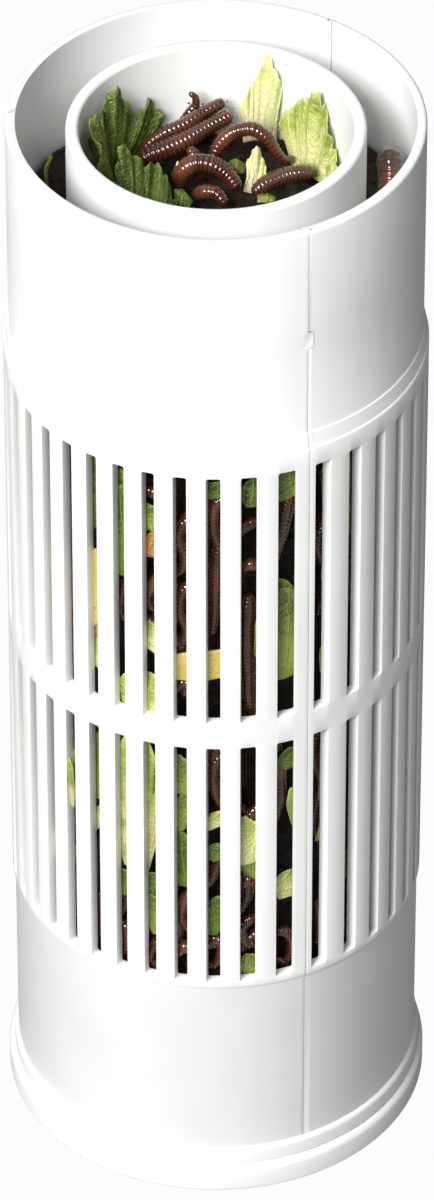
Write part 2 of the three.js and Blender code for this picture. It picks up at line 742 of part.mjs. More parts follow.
const basket = new THREE.Group();
basket.add(feedSleeve());
basket.add(beddingCore());
Object.keys(mouthWormShares).forEach((name, order) => {
  basket.add(piece(name, geometryOf(mouthWorm(name, order)), 'wormSkin'));
});
for (const name of Object.keys(mouthLeafShares)) {
  basket.add(leafPiece(name, mouthLeaf(name)));
}
wormery.add(basket);

wormery.add(beddingRing());
for (const name of Object.keys(ringWormShares)) {
  wormery.add(piece(name, geometryOf(ringWorm(name)), 'wormSkin'));
}
for (const name of Object.keys(ringLeafShares)) {
  wormery.add(leafPiece(name, ringLeaf(name)));
}
for (const name of Object.keys(slotLeafShares)) {
  wormery.add(leafPiece(name, slotLeaf(name)));
}
for (const name of Object.keys(slotWormShares)) {
  wormery.add(piece(name, geometryOf(slotWorm(name)), 'wormSkin'));
}
wormery.add(carrotStick());

export default wormery;
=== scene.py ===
# Wormery: a slotted white tube on a base tray, with a lift-out feed sleeve, bedding, worms and scraps.
# Metres, +Z up, front towards -Y. Azimuths are degrees from the front, turning towards +X.
import math

import bmesh
import bpy
import numpy as np
from mathutils import Matrix, Vector, noise


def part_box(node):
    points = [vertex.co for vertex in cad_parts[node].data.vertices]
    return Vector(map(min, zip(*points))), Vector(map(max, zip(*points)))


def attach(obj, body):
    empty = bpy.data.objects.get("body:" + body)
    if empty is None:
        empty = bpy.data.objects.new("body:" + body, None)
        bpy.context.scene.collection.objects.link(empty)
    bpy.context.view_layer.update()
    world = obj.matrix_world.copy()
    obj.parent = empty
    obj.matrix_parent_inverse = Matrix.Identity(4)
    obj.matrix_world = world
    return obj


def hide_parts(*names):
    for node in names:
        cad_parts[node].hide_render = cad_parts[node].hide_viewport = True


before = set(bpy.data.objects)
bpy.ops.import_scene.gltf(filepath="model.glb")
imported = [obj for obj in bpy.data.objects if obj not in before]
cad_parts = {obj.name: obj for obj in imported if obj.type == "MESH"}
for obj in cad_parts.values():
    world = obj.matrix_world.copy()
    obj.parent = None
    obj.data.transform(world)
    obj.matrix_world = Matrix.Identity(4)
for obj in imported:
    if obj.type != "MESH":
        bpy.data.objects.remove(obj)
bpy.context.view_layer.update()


# Studio: the camera stands far off in front and looks down at the tube, as the photograph was taken.
# A pale floor reaches past the picture. A large soft light hangs high on the left, with a small one in
# front and a faint one above.
photo_height = 1200
focal_pixels = 8841
sensor_width = 36
camera_place = (0.0003, -2.55, 2.276)
camera_pitch = 38.83

bpy.ops.object.select_all(action="DESELECT")
bpy.ops.object.camera_add(location=camera_place, rotation=(math.radians(90 - camera_pitch), 0, 0))
camera = bpy.context.object
camera.name = "camera"
camera.data.sensor_width = sensor_width
camera.data.lens = sensor_width * focal_pixels / photo_height
camera.data.clip_end = 50
bpy.context.scene.camera = camera
bpy.context.scene.view_settings.view_transform = "Standard"

look_at = Vector((0, 0, 0.24))


def soft_light(name, place, size, power):
    """A square soft light at place, turned towards the middle of the tube."""
    turn = (look_at - Vector(place)).to_track_quat("-Z", "Y").to_euler()
    bpy.ops.object.light_add(type="AREA", location=place, rotation=turn)
    light = bpy.context.object
    light.name = name
    light.data.size = size
    light.data.energy = power


soft_light("key_light", (-1.75, -3.05, 3.1), 1.9, 286)
soft_light("front_light", (-0.45, -3.2, 2.7), 0.25, 24)
soft_light("top_light", (-0.3, 0.5, 2.6), 2, 11)

room_light = 0.16
world = bpy.data.worlds.new("studio")
world.use_nodes = True
bpy.context.scene.world = world
world.node_tree.nodes["Background"].inputs["Color"].default_value = (1, 1, 1, 1)
world.node_tree.nodes["Background"].inputs["Strength"].default_value = room_light

floor_size = 14
floor_grey = 0.3
floor_glow = 0.975
bpy.ops.object.select_all(action="DESELECT")
bpy.ops.mesh.primitive_plane_add(size=floor_size)
floor = bpy.context.object
floor.name = "floor"
floor_paint = bpy.data.materials.new("floor_paint")
floor_paint.use_nodes = True
floor_nodes = floor_paint.node_tree.nodes
floor_links = floor_paint.node_tree.links
floor_shader = floor_nodes["Principled BSDF"]
floor_shader.inputs["Base Color"].default_value = (floor_grey, floor_grey, floor_grey, 1)
floor_shader.inputs["Roughness"].default_value = 0.9
seen = floor_nodes.new("ShaderNodeLightPath")
glow = floor_nodes.new("ShaderNodeEmission")
glow.inputs["Strength"].default_value = floor_glow
lit_floor = floor_nodes.new("ShaderNodeMixShader")
floor_links.new(seen.outputs["Is Camera Ray"], lit_floor.inputs["Fac"])
floor_links.new(floor_shader.outputs["BSDF"], lit_floor.inputs[1])
floor_links.new(glow.outputs["Emission"], lit_floor.inputs[2])
floor_links.new(lit_floor.outputs["Shader"], floor_nodes["Material Output"].inputs["Surface"])
floor.data.materials.append(floor_paint)


# Base tray: one round moulding in white plastic that everything stands in. A rounded rim carries the
# clamp ring, an inner wall holds the feet of the panels, a low socket centres the sleeve, slits drain it.
class Wire:
    """A socket among a material's nodes. Sums on it add Math nodes, node() adds any other node."""

    def __init__(self, tree, socket):
        self.tree = tree
        self.socket = socket

    def node(self, kind, settings, inputs, output=0):
        made = self.tree.nodes.new("ShaderNode" + kind)
        for setting, value in settings.items():
            setattr(made, setting, value)
        for name, value in inputs.items():
            self.feed(made.inputs[name], value)
        return Wire(self.tree, made.outputs[output])

    def feed(self, socket, value):
        if isinstance(value, Wire):
            self.tree.links.new(value.socket, socket)
        elif isinstance(value, tuple) and socket.type == "RGBA":
            socket.default_value = (*value, 1)
        else:
            socket.default_value = value

    def math(self, operation, *values):
        return self.node("Math", {"operation": operation}, dict(enumerate(values)))

    def __add__(self, other):
        return self.math("ADD", self, other)

    def __sub__(self, other):
        return self.math("SUBTRACT", self, other)

    def __rsub__(self, other):
        return self.math("SUBTRACT", other, self)

    def __mul__(self, other):
        return self.math("MULTIPLY", self, other)

    __radd__ = __add__
    __rmul__ = __mul__

    def larger(self, other):
        return self.math("MAXIMUM", self, other)

    def swing(self):
        """From 0 up to 0.5 and back, once for each whole number."""
        return self.math("PINGPONG", self, 0.5)

    def between(self, low, high):
        """0 at low, 1 at high and clamped outside them."""
        return self.node("MapRange", {}, {"Value": self, "From Min": low, "From Max": high})

    def mix(self, low, high):
        """The colour low where this is 0 and high where it is 1."""
        return self.node("Mix", {"data_type": "RGBA"}, {0: self, 6: low, 7: high}, output=2)

    def noise(self, scale, detail, roughness=0.5):
        inputs = {"Vector": self, "Scale": scale, "Detail": detail, "Roughness": roughness}
        return self.node("TexNoise", {}, inputs)

    def axis(self, name):
        return self.node("SeparateXYZ", {}, {"Vector": self}, output=name)

    def marked(self, name):
        """The piece's own attribute of that name."""
        return self.node("Attribute", {"attribute_name": name}, {}, output="Fac")

    def bump(self, distance, strength):
        return self.node("Bump", {}, {"Height": self, "Distance": distance, "Strength": strength})


def finish(name, settings):
    """A new material with its fixed sockets set: the material, its shader and its object coordinates."""
    made = bpy.data.materials.new(name)
    made.use_nodes = True
    shader = made.node_tree.nodes["Principled BSDF"]
    for socket, value in settings.items():
        shader.inputs[socket].default_value = value
    place = Wire(made.node_tree, None).node("TexCoord", {}, {}, output="Object")
    return made, shader, place


def plastic(name, white, soiled=False):
    """Satin white moulded plastic, faintly cloudy and finely grained. Soiled has specks of earth inside."""
    made, shader, place = finish(name, {"IOR": 1.46, "Coat Roughness": 0.25})
    cloud = place.noise(38, 3)
    grain = place.noise(2600, 2)
    ripple = place.noise(70, 1)
    colour = cloud.between(0.35, 0.7).mix(tuple(0.965 * part for part in white), white)
    if soiled:
        crumb = place.node("TexVoronoi", {}, {"Vector": place, "Scale": 190, "Randomness": 1})
        patch = place.noise(60, 2).between(0.5, 0.66)
        reach = place.axis("X") * place.axis("X") + place.axis("Y") * place.axis("Y")
        inside = 1 - reach.between(0.0493**2, 0.0496**2)
        speck = (1 - crumb.between(0.05, 0.13)) * patch * inside
        colour = speck.mix(colour, (0.09, 0.06, 0.04))
    place.feed(shader.inputs["Base Color"], colour)
    place.feed(shader.inputs["Roughness"], cloud.between(0.3, 0.8) * 0.08 + 0.38 + grain * 0.06)
    place.feed(shader.inputs["Normal"], (grain * 0.12 + ripple).bump(0.00025, 0.35))
    return made


white_plastic = plastic("satin_white_plastic", (0.87, 0.872, 0.86))


def rounded_outline(corners, arc_steps=4):
    """The outline through (radius, height, rounding) corners, with an arc where the rounding isn't 0."""
    points = []
    for at, (radius, height, rounding) in enumerate(corners):
        corner = Vector((radius, height))
        if not rounding:
            points.append(corner)
            continue
        before = (Vector(corners[at - 1][:2]) - corner).normalized()
        after = (Vector(corners[(at + 1) % len(corners)][:2]) - corner).normalized()
        half = before.angle(after) / 2
        centre = corner + (before + after).normalized() * rounding / math.sin(half)
        start = corner + before * rounding / math.tan(half) - centre
        end = corner + after * rounding / math.tan(half) - centre
        for step in range(arc_steps + 1):
            share = step / arc_steps
            points.append(centre + start.lerp(end, share).normalized() * rounding)
    return points


def pick(*pieces):
    """Selects these pieces alone and makes the first one active."""
    bpy.ops.object.select_all(action="DESELECT")
    for piece in pieces:
        piece.select_set(True)
    bpy.context.view_layer.objects.active = pieces[0]


def apply_modifier(piece, kind, **settings):
    """Adds a modifier with these settings and applies it."""
    pick(piece)
    modifier = piece.modifiers.new("shape", kind)
    for setting, value in settings.items():
        setattr(modifier, setting, value)
    bpy.ops.object.modifier_apply(modifier=modifier.name)


def smooth(piece, degrees=35):
    """Smooth shading, with edges sharper than that angle kept crisp."""
    pick(piece)
    bpy.ops.object.shade_smooth_by_angle(angle=math.radians(degrees))


def turned(name, corners, steps=180, closed=True):
    """A turned shell: one vertex is drawn along the outline by extruding it, then spun round the axis."""
    points = rounded_outline(corners)
    if closed:
        points.append(points[0])
    bpy.ops.object.select_all(action="DESELECT")
    bpy.ops.mesh.primitive_plane_add(size=0.01)
    piece = bpy.context.object
    piece.name = piece.data.name = name
    bpy.ops.object.mode_set(mode="EDIT")
    bpy.ops.mesh.select_mode(type="VERT")
    bpy.ops.mesh.select_all(action="SELECT")
    bpy.ops.mesh.merge(type="CENTER")
    bpy.ops.transform.translate(value=(points[0].x, 0, points[0].y))
    for last, point in zip(points, points[1:]):
        move = (point.x - last.x, 0, point.y - last.y)
        bpy.ops.mesh.extrude_region_move(TRANSFORM_OT_translate={"value": move})
    bpy.ops.mesh.select_all(action="SELECT")
    bpy.ops.mesh.remove_doubles(threshold=1e-6)
    bpy.ops.mesh.spin(steps=steps, angle=math.tau, center=(0, 0, 0), axis=(0, 0, 1))
    bpy.ops.mesh.select_all(action="SELECT")
    bpy.ops.mesh.remove_doubles(threshold=1e-6)
    bpy.ops.mesh.normals_make_consistent(inside=False)
    bpy.ops.object.mode_set(mode="OBJECT")
    return piece


def turn_mesh(piece, azimuth):
    """Turns a piece's mesh round the tube's axis, with its object left at the origin."""
    piece.data.transform(Matrix.Rotation(math.radians(azimuth), 4, "Z"))


def cut_slits(piece, slits, corner):
    """Cuts slits with rounded corners: (azimuth, inner radius, outer radius, width, bottom, top)."""
    cutters = []
    for azimuth, inner, outer, width, bottom, top in slits:
        bpy.ops.object.select_all(action="DESELECT")
        bpy.ops.mesh.primitive_cube_add(size=1)
        cutter = bpy.context.object
        size = Matrix.Diagonal((width, outer - inner, top - bottom, 1))
        place = Matrix.Translation((0, -(inner + outer) / 2, (bottom + top) / 2))
        cutter.data.transform(place @ size)
        across = top - bottom > outer - inner
        bpy.ops.object.mode_set(mode="EDIT")
        bpy.ops.mesh.select_all(action="DESELECT")
        shape = bmesh.from_edit_mesh(cutter.data)
        for edge in shape.edges:
            run = (edge.verts[0].co - edge.verts[1].co).normalized()
            edge.select_set(abs(run.y if across else run.z) > 0.9)
        bmesh.update_edit_mesh(cutter.data)
        bpy.ops.mesh.bevel(offset=corner, segments=3, affect="EDGES")
        bpy.ops.object.mode_set(mode="OBJECT")
        turn_mesh(cutter, azimuth)
        cutters.append(cutter)
    pick(*cutters)
    bpy.ops.object.join()
    apply_modifier(piece, "BOOLEAN", object=cutters[0], operation="DIFFERENCE", solver="EXACT")
    bpy.data.objects.remove(cutters[0])


def settle(piece, body, slot, material, *nodes):
    """Paints a piece, lets it ride on its body and hides the CAD nodes it stands for. The slot is not used.
    """
    piece.data.materials.clear()
    piece.data.materials.append(material)
    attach(piece, body)
    if nodes:
        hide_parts(*nodes)
    return piece


gap = 0.0003
tray_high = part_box("base_tray")[1]
tray_radius = tray_high.x
tray_floor = 0.0055
rim_height = 0.011
panel_seat = 0.006
housing_bore = 0.073
collar_bore = 0.0715
foot_radius = 0.0745
socket_outer = housing_bore - gap
socket_inner = socket_outer - 0.0025
sleeve_radius = 0.0536
sleeve_bore = 0.049
sleeve_socket_inner = sleeve_radius + gap
sleeve_socket_outer = sleeve_socket_inner + 0.0024
sleeve_socket_top = 0.0175
drain_width = 0.0046
drain_hub = 0.014
drain_edge = 0.0017
drain_runs = [
    (drain_hub, sleeve_bore - 0.005),
    (sleeve_socket_outer + drain_edge, socket_inner - drain_edge),
]
past_floor = 0.003

base_tray = turned(
    "base_tray_shell",
    [
        (0, 0, 0),
        (tray_radius, 0, 0.001),
        (tray_radius, rim_height, 0.0026),
        (foot_radius + gap, rim_height, 0.0004),
        (foot_radius + gap, panel_seat, 0),
        (socket_outer, panel_seat, 0),
        (socket_outer, tray_high.z, 0.0006),
        (socket_inner, tray_high.z, 0.0006),
        (socket_inner, tray_floor, 0.0004),
        (sleeve_socket_outer, tray_floor, 0.0004),
        (sleeve_socket_outer, sleeve_socket_top, 0.0006),
        (sleeve_socket_inner, sleeve_socket_top, 0.0006),
        (sleeve_socket_inner, tray_floor, 0),
        (0, tray_floor, 0),
    ],
    closed=False,
)
drains = [
    (azimuth, inner, outer, drain_width, -past_floor, tray_floor + past_floor)
    for azimuth in range(0, 360, 45)
    for inner, outer in drain_runs
]
cut_slits(base_tray, drains, 0.0008)
smooth(base_tray)
settle(base_tray, "root", "white_plastic", white_plastic, "base_tray")


# Clamp ring: a loose ring with a rounded top edge that stands on the tray's rim and holds the feet
# of the panels together. A dark groove shows between it and the tray.
clamp_low, clamp_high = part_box("clamp_ring")
clamp_ring = turned(
    "clamp_ring_shell",
    [
        (foot_radius + gap, clamp_low.z, 0),
        (clamp_high.x, clamp_low.z, 0.0007),
        (clamp_high.x, clamp_high.z, 0.0018),
        (foot_radius + gap, clamp_high.z, 0.0004),
    ],
)
smooth(clamp_ring)
settle(clamp_ring, "housing", "white_plastic", white_plastic, "clamp_ring")


# Wall panels: three identical shells moulded in white plastic, each with a foot, a skirt, two rows of
# thirteen slots, a sloped shoulder and a collar. They meet in lap seams that a small snap tab holds shut.
panel_low, panel_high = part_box("wall_panel_1")
panel_count = 3
seam_azimuth = 24.5
slots_per_row = 13
slot_width = 0.0045
slot_widening_share = 0.38
slot_spread_share = 0.5
slot_fan_share = 0.7
slot_edge = 0.0072
slot_corner = 0.0007
slot_length = 0.113
slotted_radius = 0.077
skirt_radius = 0.076
collar_radius = 0.075
skirt_bottom = clamp_high.z + gap
skirt_top = 0.1001
lower_sill = 0.1028
upper_sill = lower_sill + slot_length + 0.0116
shoulder_top = upper_sill + slot_length + 0.008
cone_top = shoulder_top + 0.006
cone_rise = 0.0006
housing_top = panel_high.z
rim_rounding = 0.0012
shoulder_rounding = 0.0008
lap_width = 0.0014
bead_width = 0.0016
bead_height = 0.00016
tab_width = 0.0022
tab_low = 0.392
tab_high = tab_low + 0.0065
edge_rounding = 0.00035
sliver = 0.0003


def rounded_rows(radius, top, rounding, bore, steps):
    """The rows of a panel's grid that round its outer edge off, up to the top."""
    made = []
    for step in range(steps + 1):
        turn = math.pi / 2 * step / steps
        level = top - rounding * (1 - math.sin(turn))
        made.append((radius - rounding * (1 - math.cos(turn)), level, bore, level))
    return made


# A panel is laid out as a flat grid, and each row has its radius and level outside and inside
rows = [
    (foot_radius, panel_low.z, housing_bore, panel_low.z),
    (foot_radius, skirt_bottom, housing_bore, skirt_bottom - sliver),
    (skirt_radius, skirt_bottom, housing_bore, skirt_bottom),
    (skirt_radius, skirt_top, housing_bore, skirt_top - sliver),
    (slotted_radius, skirt_top, housing_bore, skirt_top),
]
for sill in (lower_sill, upper_sill):
    for level in (sill, sill + slot_corner, sill + slot_length - slot_corner, sill + slot_length):
        rows.append((slotted_radius, level, housing_bore, level))
rows += rounded_rows(slotted_radius, shoulder_top, shoulder_rounding, housing_bore, 2)
rows.append((collar_radius + cone_rise, cone_top, collar_bore, cone_top - sliver))
rows.append((collar_radius, cone_top, collar_bore, cone_top))
for level in (tab_low - 2 * gap, tab_low - gap, tab_low, tab_high, tab_high + gap, tab_high + 2 * gap):
    rows.append((collar_radius, level, collar_bore, level))
rows += rounded_rows(collar_radius, housing_top, rim_rounding, collar_bore, 4)

# Each slot has five columns across it and one in the bar before it, given as lines at (facing, sideways)
half_panel = math.pi / panel_count
last_slot = half_panel - slot_edge / slotted_radius
columns = []
for slot_index in range(slots_per_row):
    place = 2 * slot_index / (slots_per_row - 1) - 1
    even = place * last_slot
    across_panel = math.asin(place * math.sin(last_slot))
    turn = even + (across_panel - even) * slot_spread_share
    facing = turn * slot_fan_share
    middle = slotted_radius * math.sin(turn - facing)
    half = slot_width * (1 + slot_widening_share * (turn / last_slot) ** 2) / 2
    if columns:
        columns.append([columns[-1][0], (facing, middle - half)])
    for offset in (-half, slot_corner - half, 0, half - slot_corner, half):
        columns.append([(facing, middle + offset)])
edge_columns = 3
slot_columns = 6
column_count = len(columns) + 2 * edge_columns

# Columns and rows of faces that a slot opens, and how the lines at its corners move to round them
opened_columns = range(4)
opened_rows = (5, 6, 7, 9, 10, 11)
corner_columns = (0, 3)
corner_rows = (5, 7, 9, 11)
corner_lines_across = {1: -1, 3: 1}
corner_lines_up = {6: -1, 7: 1, 10: -1, 11: 1}
corner_move = slot_corner * math.sqrt(0.5)

bpy.ops.object.select_all(action="DESELECT")
bpy.ops.mesh.primitive_grid_add(x_subdivisions=column_count - 1, y_subdivisions=len(rows) - 1, size=2)
panel = bpy.context.object
panel.name = panel.data.name = "wall_panel_shell_1"
for vertex in panel.data.vertices:
    column = round((vertex.co.x + 1) / 2 * (column_count - 1))
    row = round((vertex.co.y + 1) / 2 * (len(rows) - 1))
    vertex.co = (column, 0, row)
bpy.ops.object.mode_set(mode="EDIT")
bpy.ops.mesh.select_mode(type="FACE")
bpy.ops.mesh.select_all(action="DESELECT")
shape = bmesh.from_edit_mesh(panel.data)
for face in shape.faces:
    middle = face.calc_center_median()
    at, row = int(middle.x) - edge_columns, int(middle.z)
    in_slot = 0 <= at < len(columns) and at % slot_columns in opened_columns and row in opened_rows
    in_corner = at % slot_columns in corner_columns and row in corner_rows
    face.select_set(in_slot and not in_corner)
bmesh.update_edit_mesh(panel.data)
bpy.ops.mesh.delete(type="FACE")
bpy.ops.mesh.select_all(action="SELECT")
bpy.ops.mesh.extrude_region_move(TRANSFORM_OT_translate={"value": (0, 1, 0)})
bpy.ops.object.mode_set(mode="OBJECT")

lap_turn = lap_width / slotted_radius
gap_turn = gap / housing_bore
tab_turn = tab_width / collar_radius


def seam_angle(side, radius, inner, level):
    """Where the panel ends on that side, seen from its middle, so that the laps of neighbours pass."""
    if inner:
        return side * (half_panel - gap_turn / 2)
    if side > 0:
        return half_panel + lap_turn + (tab_turn if tab_low <= level <= tab_high else 0)
    notch = tab_low - 1.5 * gap <= level <= tab_high + 1.5 * gap
    return -half_panel + lap_turn + gap_turn + (tab_turn if notch else 0)


def column_angle(lines, radius, shift=0):
    """The angle from the panel's middle at which a column's line, or lines, reach a radius."""
    return sum(facing + math.asin((across + shift) / radius) for facing, across in lines) / len(lines)


for vertex in panel.data.vertices:
    column, inner, row = round(vertex.co.x), vertex.co.y > 0.5, round(vertex.co.z)
    radius, level = rows[row][2:] if inner else rows[row][:2]
    at = column - edge_columns
    if 0 <= at < len(columns):
        shift = 0
        if at % slot_columns in corner_lines_across and row in corner_lines_up:
            shift = corner_lines_across[at % slot_columns] * corner_move
            level += corner_lines_up[row] * corner_move
        angle = column_angle(columns[at], radius, shift)
    else:
        side = -1 if at < 0 else 1
        end = seam_angle(side, radius, inner, level)
        start = side * column_angle(columns[-1], radius)
        step = edge_columns - column if side < 0 else at - len(columns) + 1
        bead_start = end - side * bead_width / radius
        angle = {1: (start + bead_start) / 2, 2: bead_start, 3: end}[step]
        if step == edge_columns and not inner and side > 0:
            radius += bead_height
    vertex.co = (radius * math.sin(angle), -radius * math.cos(angle), level)

bpy.ops.object.mode_set(mode="EDIT")
bpy.ops.mesh.select_all(action="SELECT")
bpy.ops.mesh.normals_make_consistent(inside=False)
bpy.ops.object.mode_set(mode="OBJECT")
apply_modifier(
    panel, "BEVEL", width=edge_rounding, segments=2, limit_method="ANGLE", angle_limit=math.radians(40)
)
smooth(panel, 50)
panels = [panel]
for index in range(1, panel_count):
    copy = bpy.data.objects.new(f"wall_panel_shell_{index + 1}", panel.data.copy())
    bpy.context.scene.collection.objects.link(copy)
    panels.append(copy)
for index, panel in enumerate(panels):
    turn_mesh(panel, seam_azimuth + (index - 0.5) * 360 / panel_count)
    settle(panel, "housing", "white_plastic", white_plastic, f"wall_panel_{index + 1}")


# Feed sleeve: an inner tube with a rounded rim, three tiers of vents through its wall and a slotted
# floor. It stands in the tray's socket and lifts straight out with what it holds.
sleeve_low, sleeve_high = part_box("feed_sleeve")
sleeve_floor = sleeve_low.z + 0.003
vent_count = 10
vent_width = 0.006
vent_length = 0.08
vent_first_sill = 0.03
vent_band = 0.022
past_wall = 0.005
floor_vent_width = 0.0042
floor_vent_hub = 0.01
floor_vent_edge = 0.011
floor_vent_low = 0.003
floor_vent_high = 0.011
soiled_plastic = plastic("soiled_white_plastic", (0.87, 0.872, 0.86), soiled=True)
feed_sleeve = turned(
    "feed_sleeve_shell",
    [
        (0, sleeve_low.z, 0),
        (sleeve_radius, sleeve_low.z, 0.001),
        (sleeve_radius, sleeve_high.z, 0.0013),
        (sleeve_bore, sleeve_high.z, 0.0013),
        (sleeve_bore, sleeve_floor, 0.001),
        (0, sleeve_floor, 0),
    ],
    closed=False,
)
vents = [
    (
        (vent + tier % 2 / 2) * 360 / vent_count,
        sleeve_bore - past_wall,
        sleeve_radius + past_wall,
        vent_width,
        vent_first_sill + tier * (vent_length + vent_band),
        vent_first_sill + tier * (vent_length + vent_band) + vent_length,
    )
    for tier in range(3)
    for vent in range(vent_count)
]
cut_slits(feed_sleeve, vents, 0.002)
floor_vent_end = sleeve_bore - floor_vent_edge
floor_vents = [
    (azimuth, floor_vent_hub, floor_vent_end, floor_vent_width, floor_vent_low, floor_vent_high)
    for azimuth in range(0, 360, 45)
]
cut_slits(feed_sleeve, floor_vents, 0.0008)
smooth(feed_sleeve)
settle(feed_sleeve, "feed_sleeve", "white_plastic", soiled_plastic, "feed_sleeve")


# Castings: dark, damp worm castings, a lumpy crumbly mass with loose crumbs on it. The core fills the
# sleeve and lifts with it, the ring fills the space between sleeve and panels, narrower behind the slots.
def castings_finish():
    """Near-black brown earth, darker where its bumped lumps are low, and wetter, darker and shinier in damp
    patches, with paler dry crumbs.
    """
    made, shader, place = finish("damp_castings", {"Specular IOR Level": 0.28})
    lumps = place.noise(240, 4, 0.6)
    crumbs = place.noise(1300, 3, 0.65)
    damp = place.noise(45, 2).between(0.4, 0.62)
    dark = damp.mix((0.010, 0.006, 0.004), (0.004, 0.0025, 0.002))
    colour = lumps.between(0.42, 0.72).mix(dark, (0.032, 0.017, 0.009))
    colour = crumbs.between(0.6, 0.72).mix(colour, (0.10, 0.056, 0.029))
    place.feed(shader.inputs["Base Color"], colour)
    place.feed(shader.inputs["Roughness"], 0.82 - damp * 0.36 - crumbs * 0.1)
    place.feed(shader.inputs["Normal"], (crumbs * 0.6 + lumps).bump(0.0011, 0.8))
    return made


def stepped(corners, step):
    """The corners with extra points along each side, so that none is longer than step."""
    points = []
    for (radius, height, _), (to_radius, to_height, _) in zip(corners, corners[1:]):
        count = max(1, math.ceil(math.hypot(to_radius - radius, to_height - height) / step))
        for part in range(count):
            share = part / count
            between = (radius + (to_radius - radius) * share, height + (to_height - height) * share)
            points.append((*between, 0))
    points.append(corners[-1])
    return points


def crumble(piece, grains):
    """Sinks the surface unevenly, never outwards: a cloudy or cellular pattern of each size and depth."""
    for kind, size, depth in grains:
        pattern = bpy.data.textures.new(f"{kind}_{size}", kind)
        pattern.noise_scale = size
        apply_modifier(
            piece, "DISPLACE", texture=pattern, texture_coords="LOCAL", strength=depth, mid_level=1
        )


def crumb_shape(name):
    """One angular crumb, a small faceted ball pushed out of round."""
    bpy.ops.object.select_all(action="DESELECT")
    bpy.ops.mesh.primitive_ico_sphere_add(subdivisions=1, radius=1)
    crumb = bpy.context.object
    crumb.name = name
    for vertex in crumb.data.vertices:
        vertex.co *= 1 + 0.35 * noise.noise(vertex.co * 1.7)
    return crumb


def scattered(name, places, seed):
    """Many crumbs as one piece, each turned at random: places are (point, size)."""
    draw = np.random.default_rng(seed)
    crumb = crumb_shape(name + "_one")
    corners = np.array([vertex.co for vertex in crumb.data.vertices])
    faces = np.array([list(face.vertices) for face in crumb.data.polygons])
    all_corners, all_faces = [], []
    for at, (point, size) in enumerate(places):
        turn = np.array(Matrix.Rotation(draw.uniform(0, math.tau), 3, Vector(draw.normal(size=3))))
        stretch = size * draw.uniform(0.6, 1.15, 3)
        all_corners.append((corners * stretch) @ turn.T + np.array(point))
        all_faces.append(faces + at * len(corners))
    mesh = bpy.data.meshes.new(name)
    mesh.from_pydata(np.concatenate(all_corners).tolist(), [], np.concatenate(all_faces).tolist())
    piece = bpy.data.objects.new(name, mesh)
    bpy.context.scene.collection.objects.link(piece)
    mesh.shade_smooth()
    bpy.data.objects.remove(crumb)
    return piece


def landing(piece, start, direction):
    """Where a line from start meets a piece's surface, or None."""
    hit, point, _, _ = piece.ray_cast(Vector(start), Vector(direction))
    return point if hit else None


castings = castings_finish()
mouth_bedding = 0.405
crown = 0.002
core_low, core_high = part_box("bedding_core")
core_radius = core_high.x
bedding_core = turned(
    "castings_core",
    stepped([(0, core_low.z, 0), (core_radius, core_low.z, 0)], 0.012)
    + stepped([(core_radius, core_low.z, 0), (core_radius, mouth_bedding - 2 * crown, 0)], 0.006)
    + stepped([(core_radius, mouth_bedding - 2 * crown, 0), (core_radius, mouth_bedding - crown, 0)], 0.001)
    + stepped([(core_radius, mouth_bedding - crown, 0), (0, mouth_bedding, 0)], 0.0011),
    closed=False,
)
crumble(bedding_core, [("CLOUDS", 0.012, 0.0045), ("VORONOI", 0.004, 0.0022), ("CLOUDS", 0.0016, 0.001)])
smooth(bedding_core, 60)
settle(bedding_core, "feed_sleeve", "castings", castings, "bedding_core")

core_crumb_count = 620
wall_speck_count = 26
draw = np.random.default_rng(11)
crumb_places = []
for _ in range(core_crumb_count):
    radius = core_radius * math.sqrt(draw.uniform(0, 0.97))
    turn = draw.uniform(0, math.tau)
    start = (radius * math.cos(turn), radius * math.sin(turn), mouth_bedding + 0.01)
    crumb_places.append((landing(bedding_core, start, (0, 0, -1)), draw.uniform(0.0004, 0.0012)))
for _ in range(wall_speck_count):
    azimuth = math.radians(180 + draw.normal(-4, 22))
    level = mouth_bedding + 0.001 + abs(draw.normal(0, 0.007))
    reach = sleeve_bore - 0.0002
    speck = (reach * math.sin(azimuth), -reach * math.cos(azimuth), level)
    crumb_places.append((Vector(speck), draw.uniform(0.0002, 0.00045)))
mouth_crumbs = scattered("mouth_crumbs", crumb_places, 12)
settle(mouth_crumbs, "feed_sleeve", "castings", castings)

ring_bedding = 0.404
ring_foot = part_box("bedding_ring")[0].z
waist_radius = 0.0637
waist_crest = waist_radius + 0.0025
waist_bottom = lower_sill - 0.002
waist_top = shoulder_top + 0.002
fill_radius = housing_bore - gap
collar_fill = collar_bore - gap
ring_inner = sleeve_radius + gap
inner_foot = ring_inner + 0.0027
outer_foot = socket_inner - gap
ring_middle = (sleeve_radius + collar_bore) / 2
outside = [
    (inner_foot, ring_foot, 0),
    (outer_foot, ring_foot, 0),
    (outer_foot, tray_high.z + gap, 0),
    (fill_radius, tray_high.z + gap, 0),
    (fill_radius, waist_bottom, 0),
    (waist_crest, waist_bottom, 0),
    (waist_crest, waist_top, 0),
    (collar_fill, waist_top, 0),
    (collar_fill, ring_bedding - crown, 0),
    (ring_middle, ring_bedding, 0),
    (ring_inner, ring_bedding - crown, 0),
]
inside = [outside[-1], (ring_inner, sleeve_socket_top + gap, 0), (inner_foot, sleeve_socket_top + gap, 0)]
bedding_ring = turned("castings_ring", stepped(outside, 0.0021) + stepped(inside, 0.008), steps=200)
crumble(bedding_ring, [("CLOUDS", 0.014, 0.003), ("VORONOI", 0.005, 0.0024), ("CLOUDS", 0.002, 0.001)])
smooth(bedding_ring, 60)
settle(bedding_ring, "root", "castings", castings, "bedding_ring")

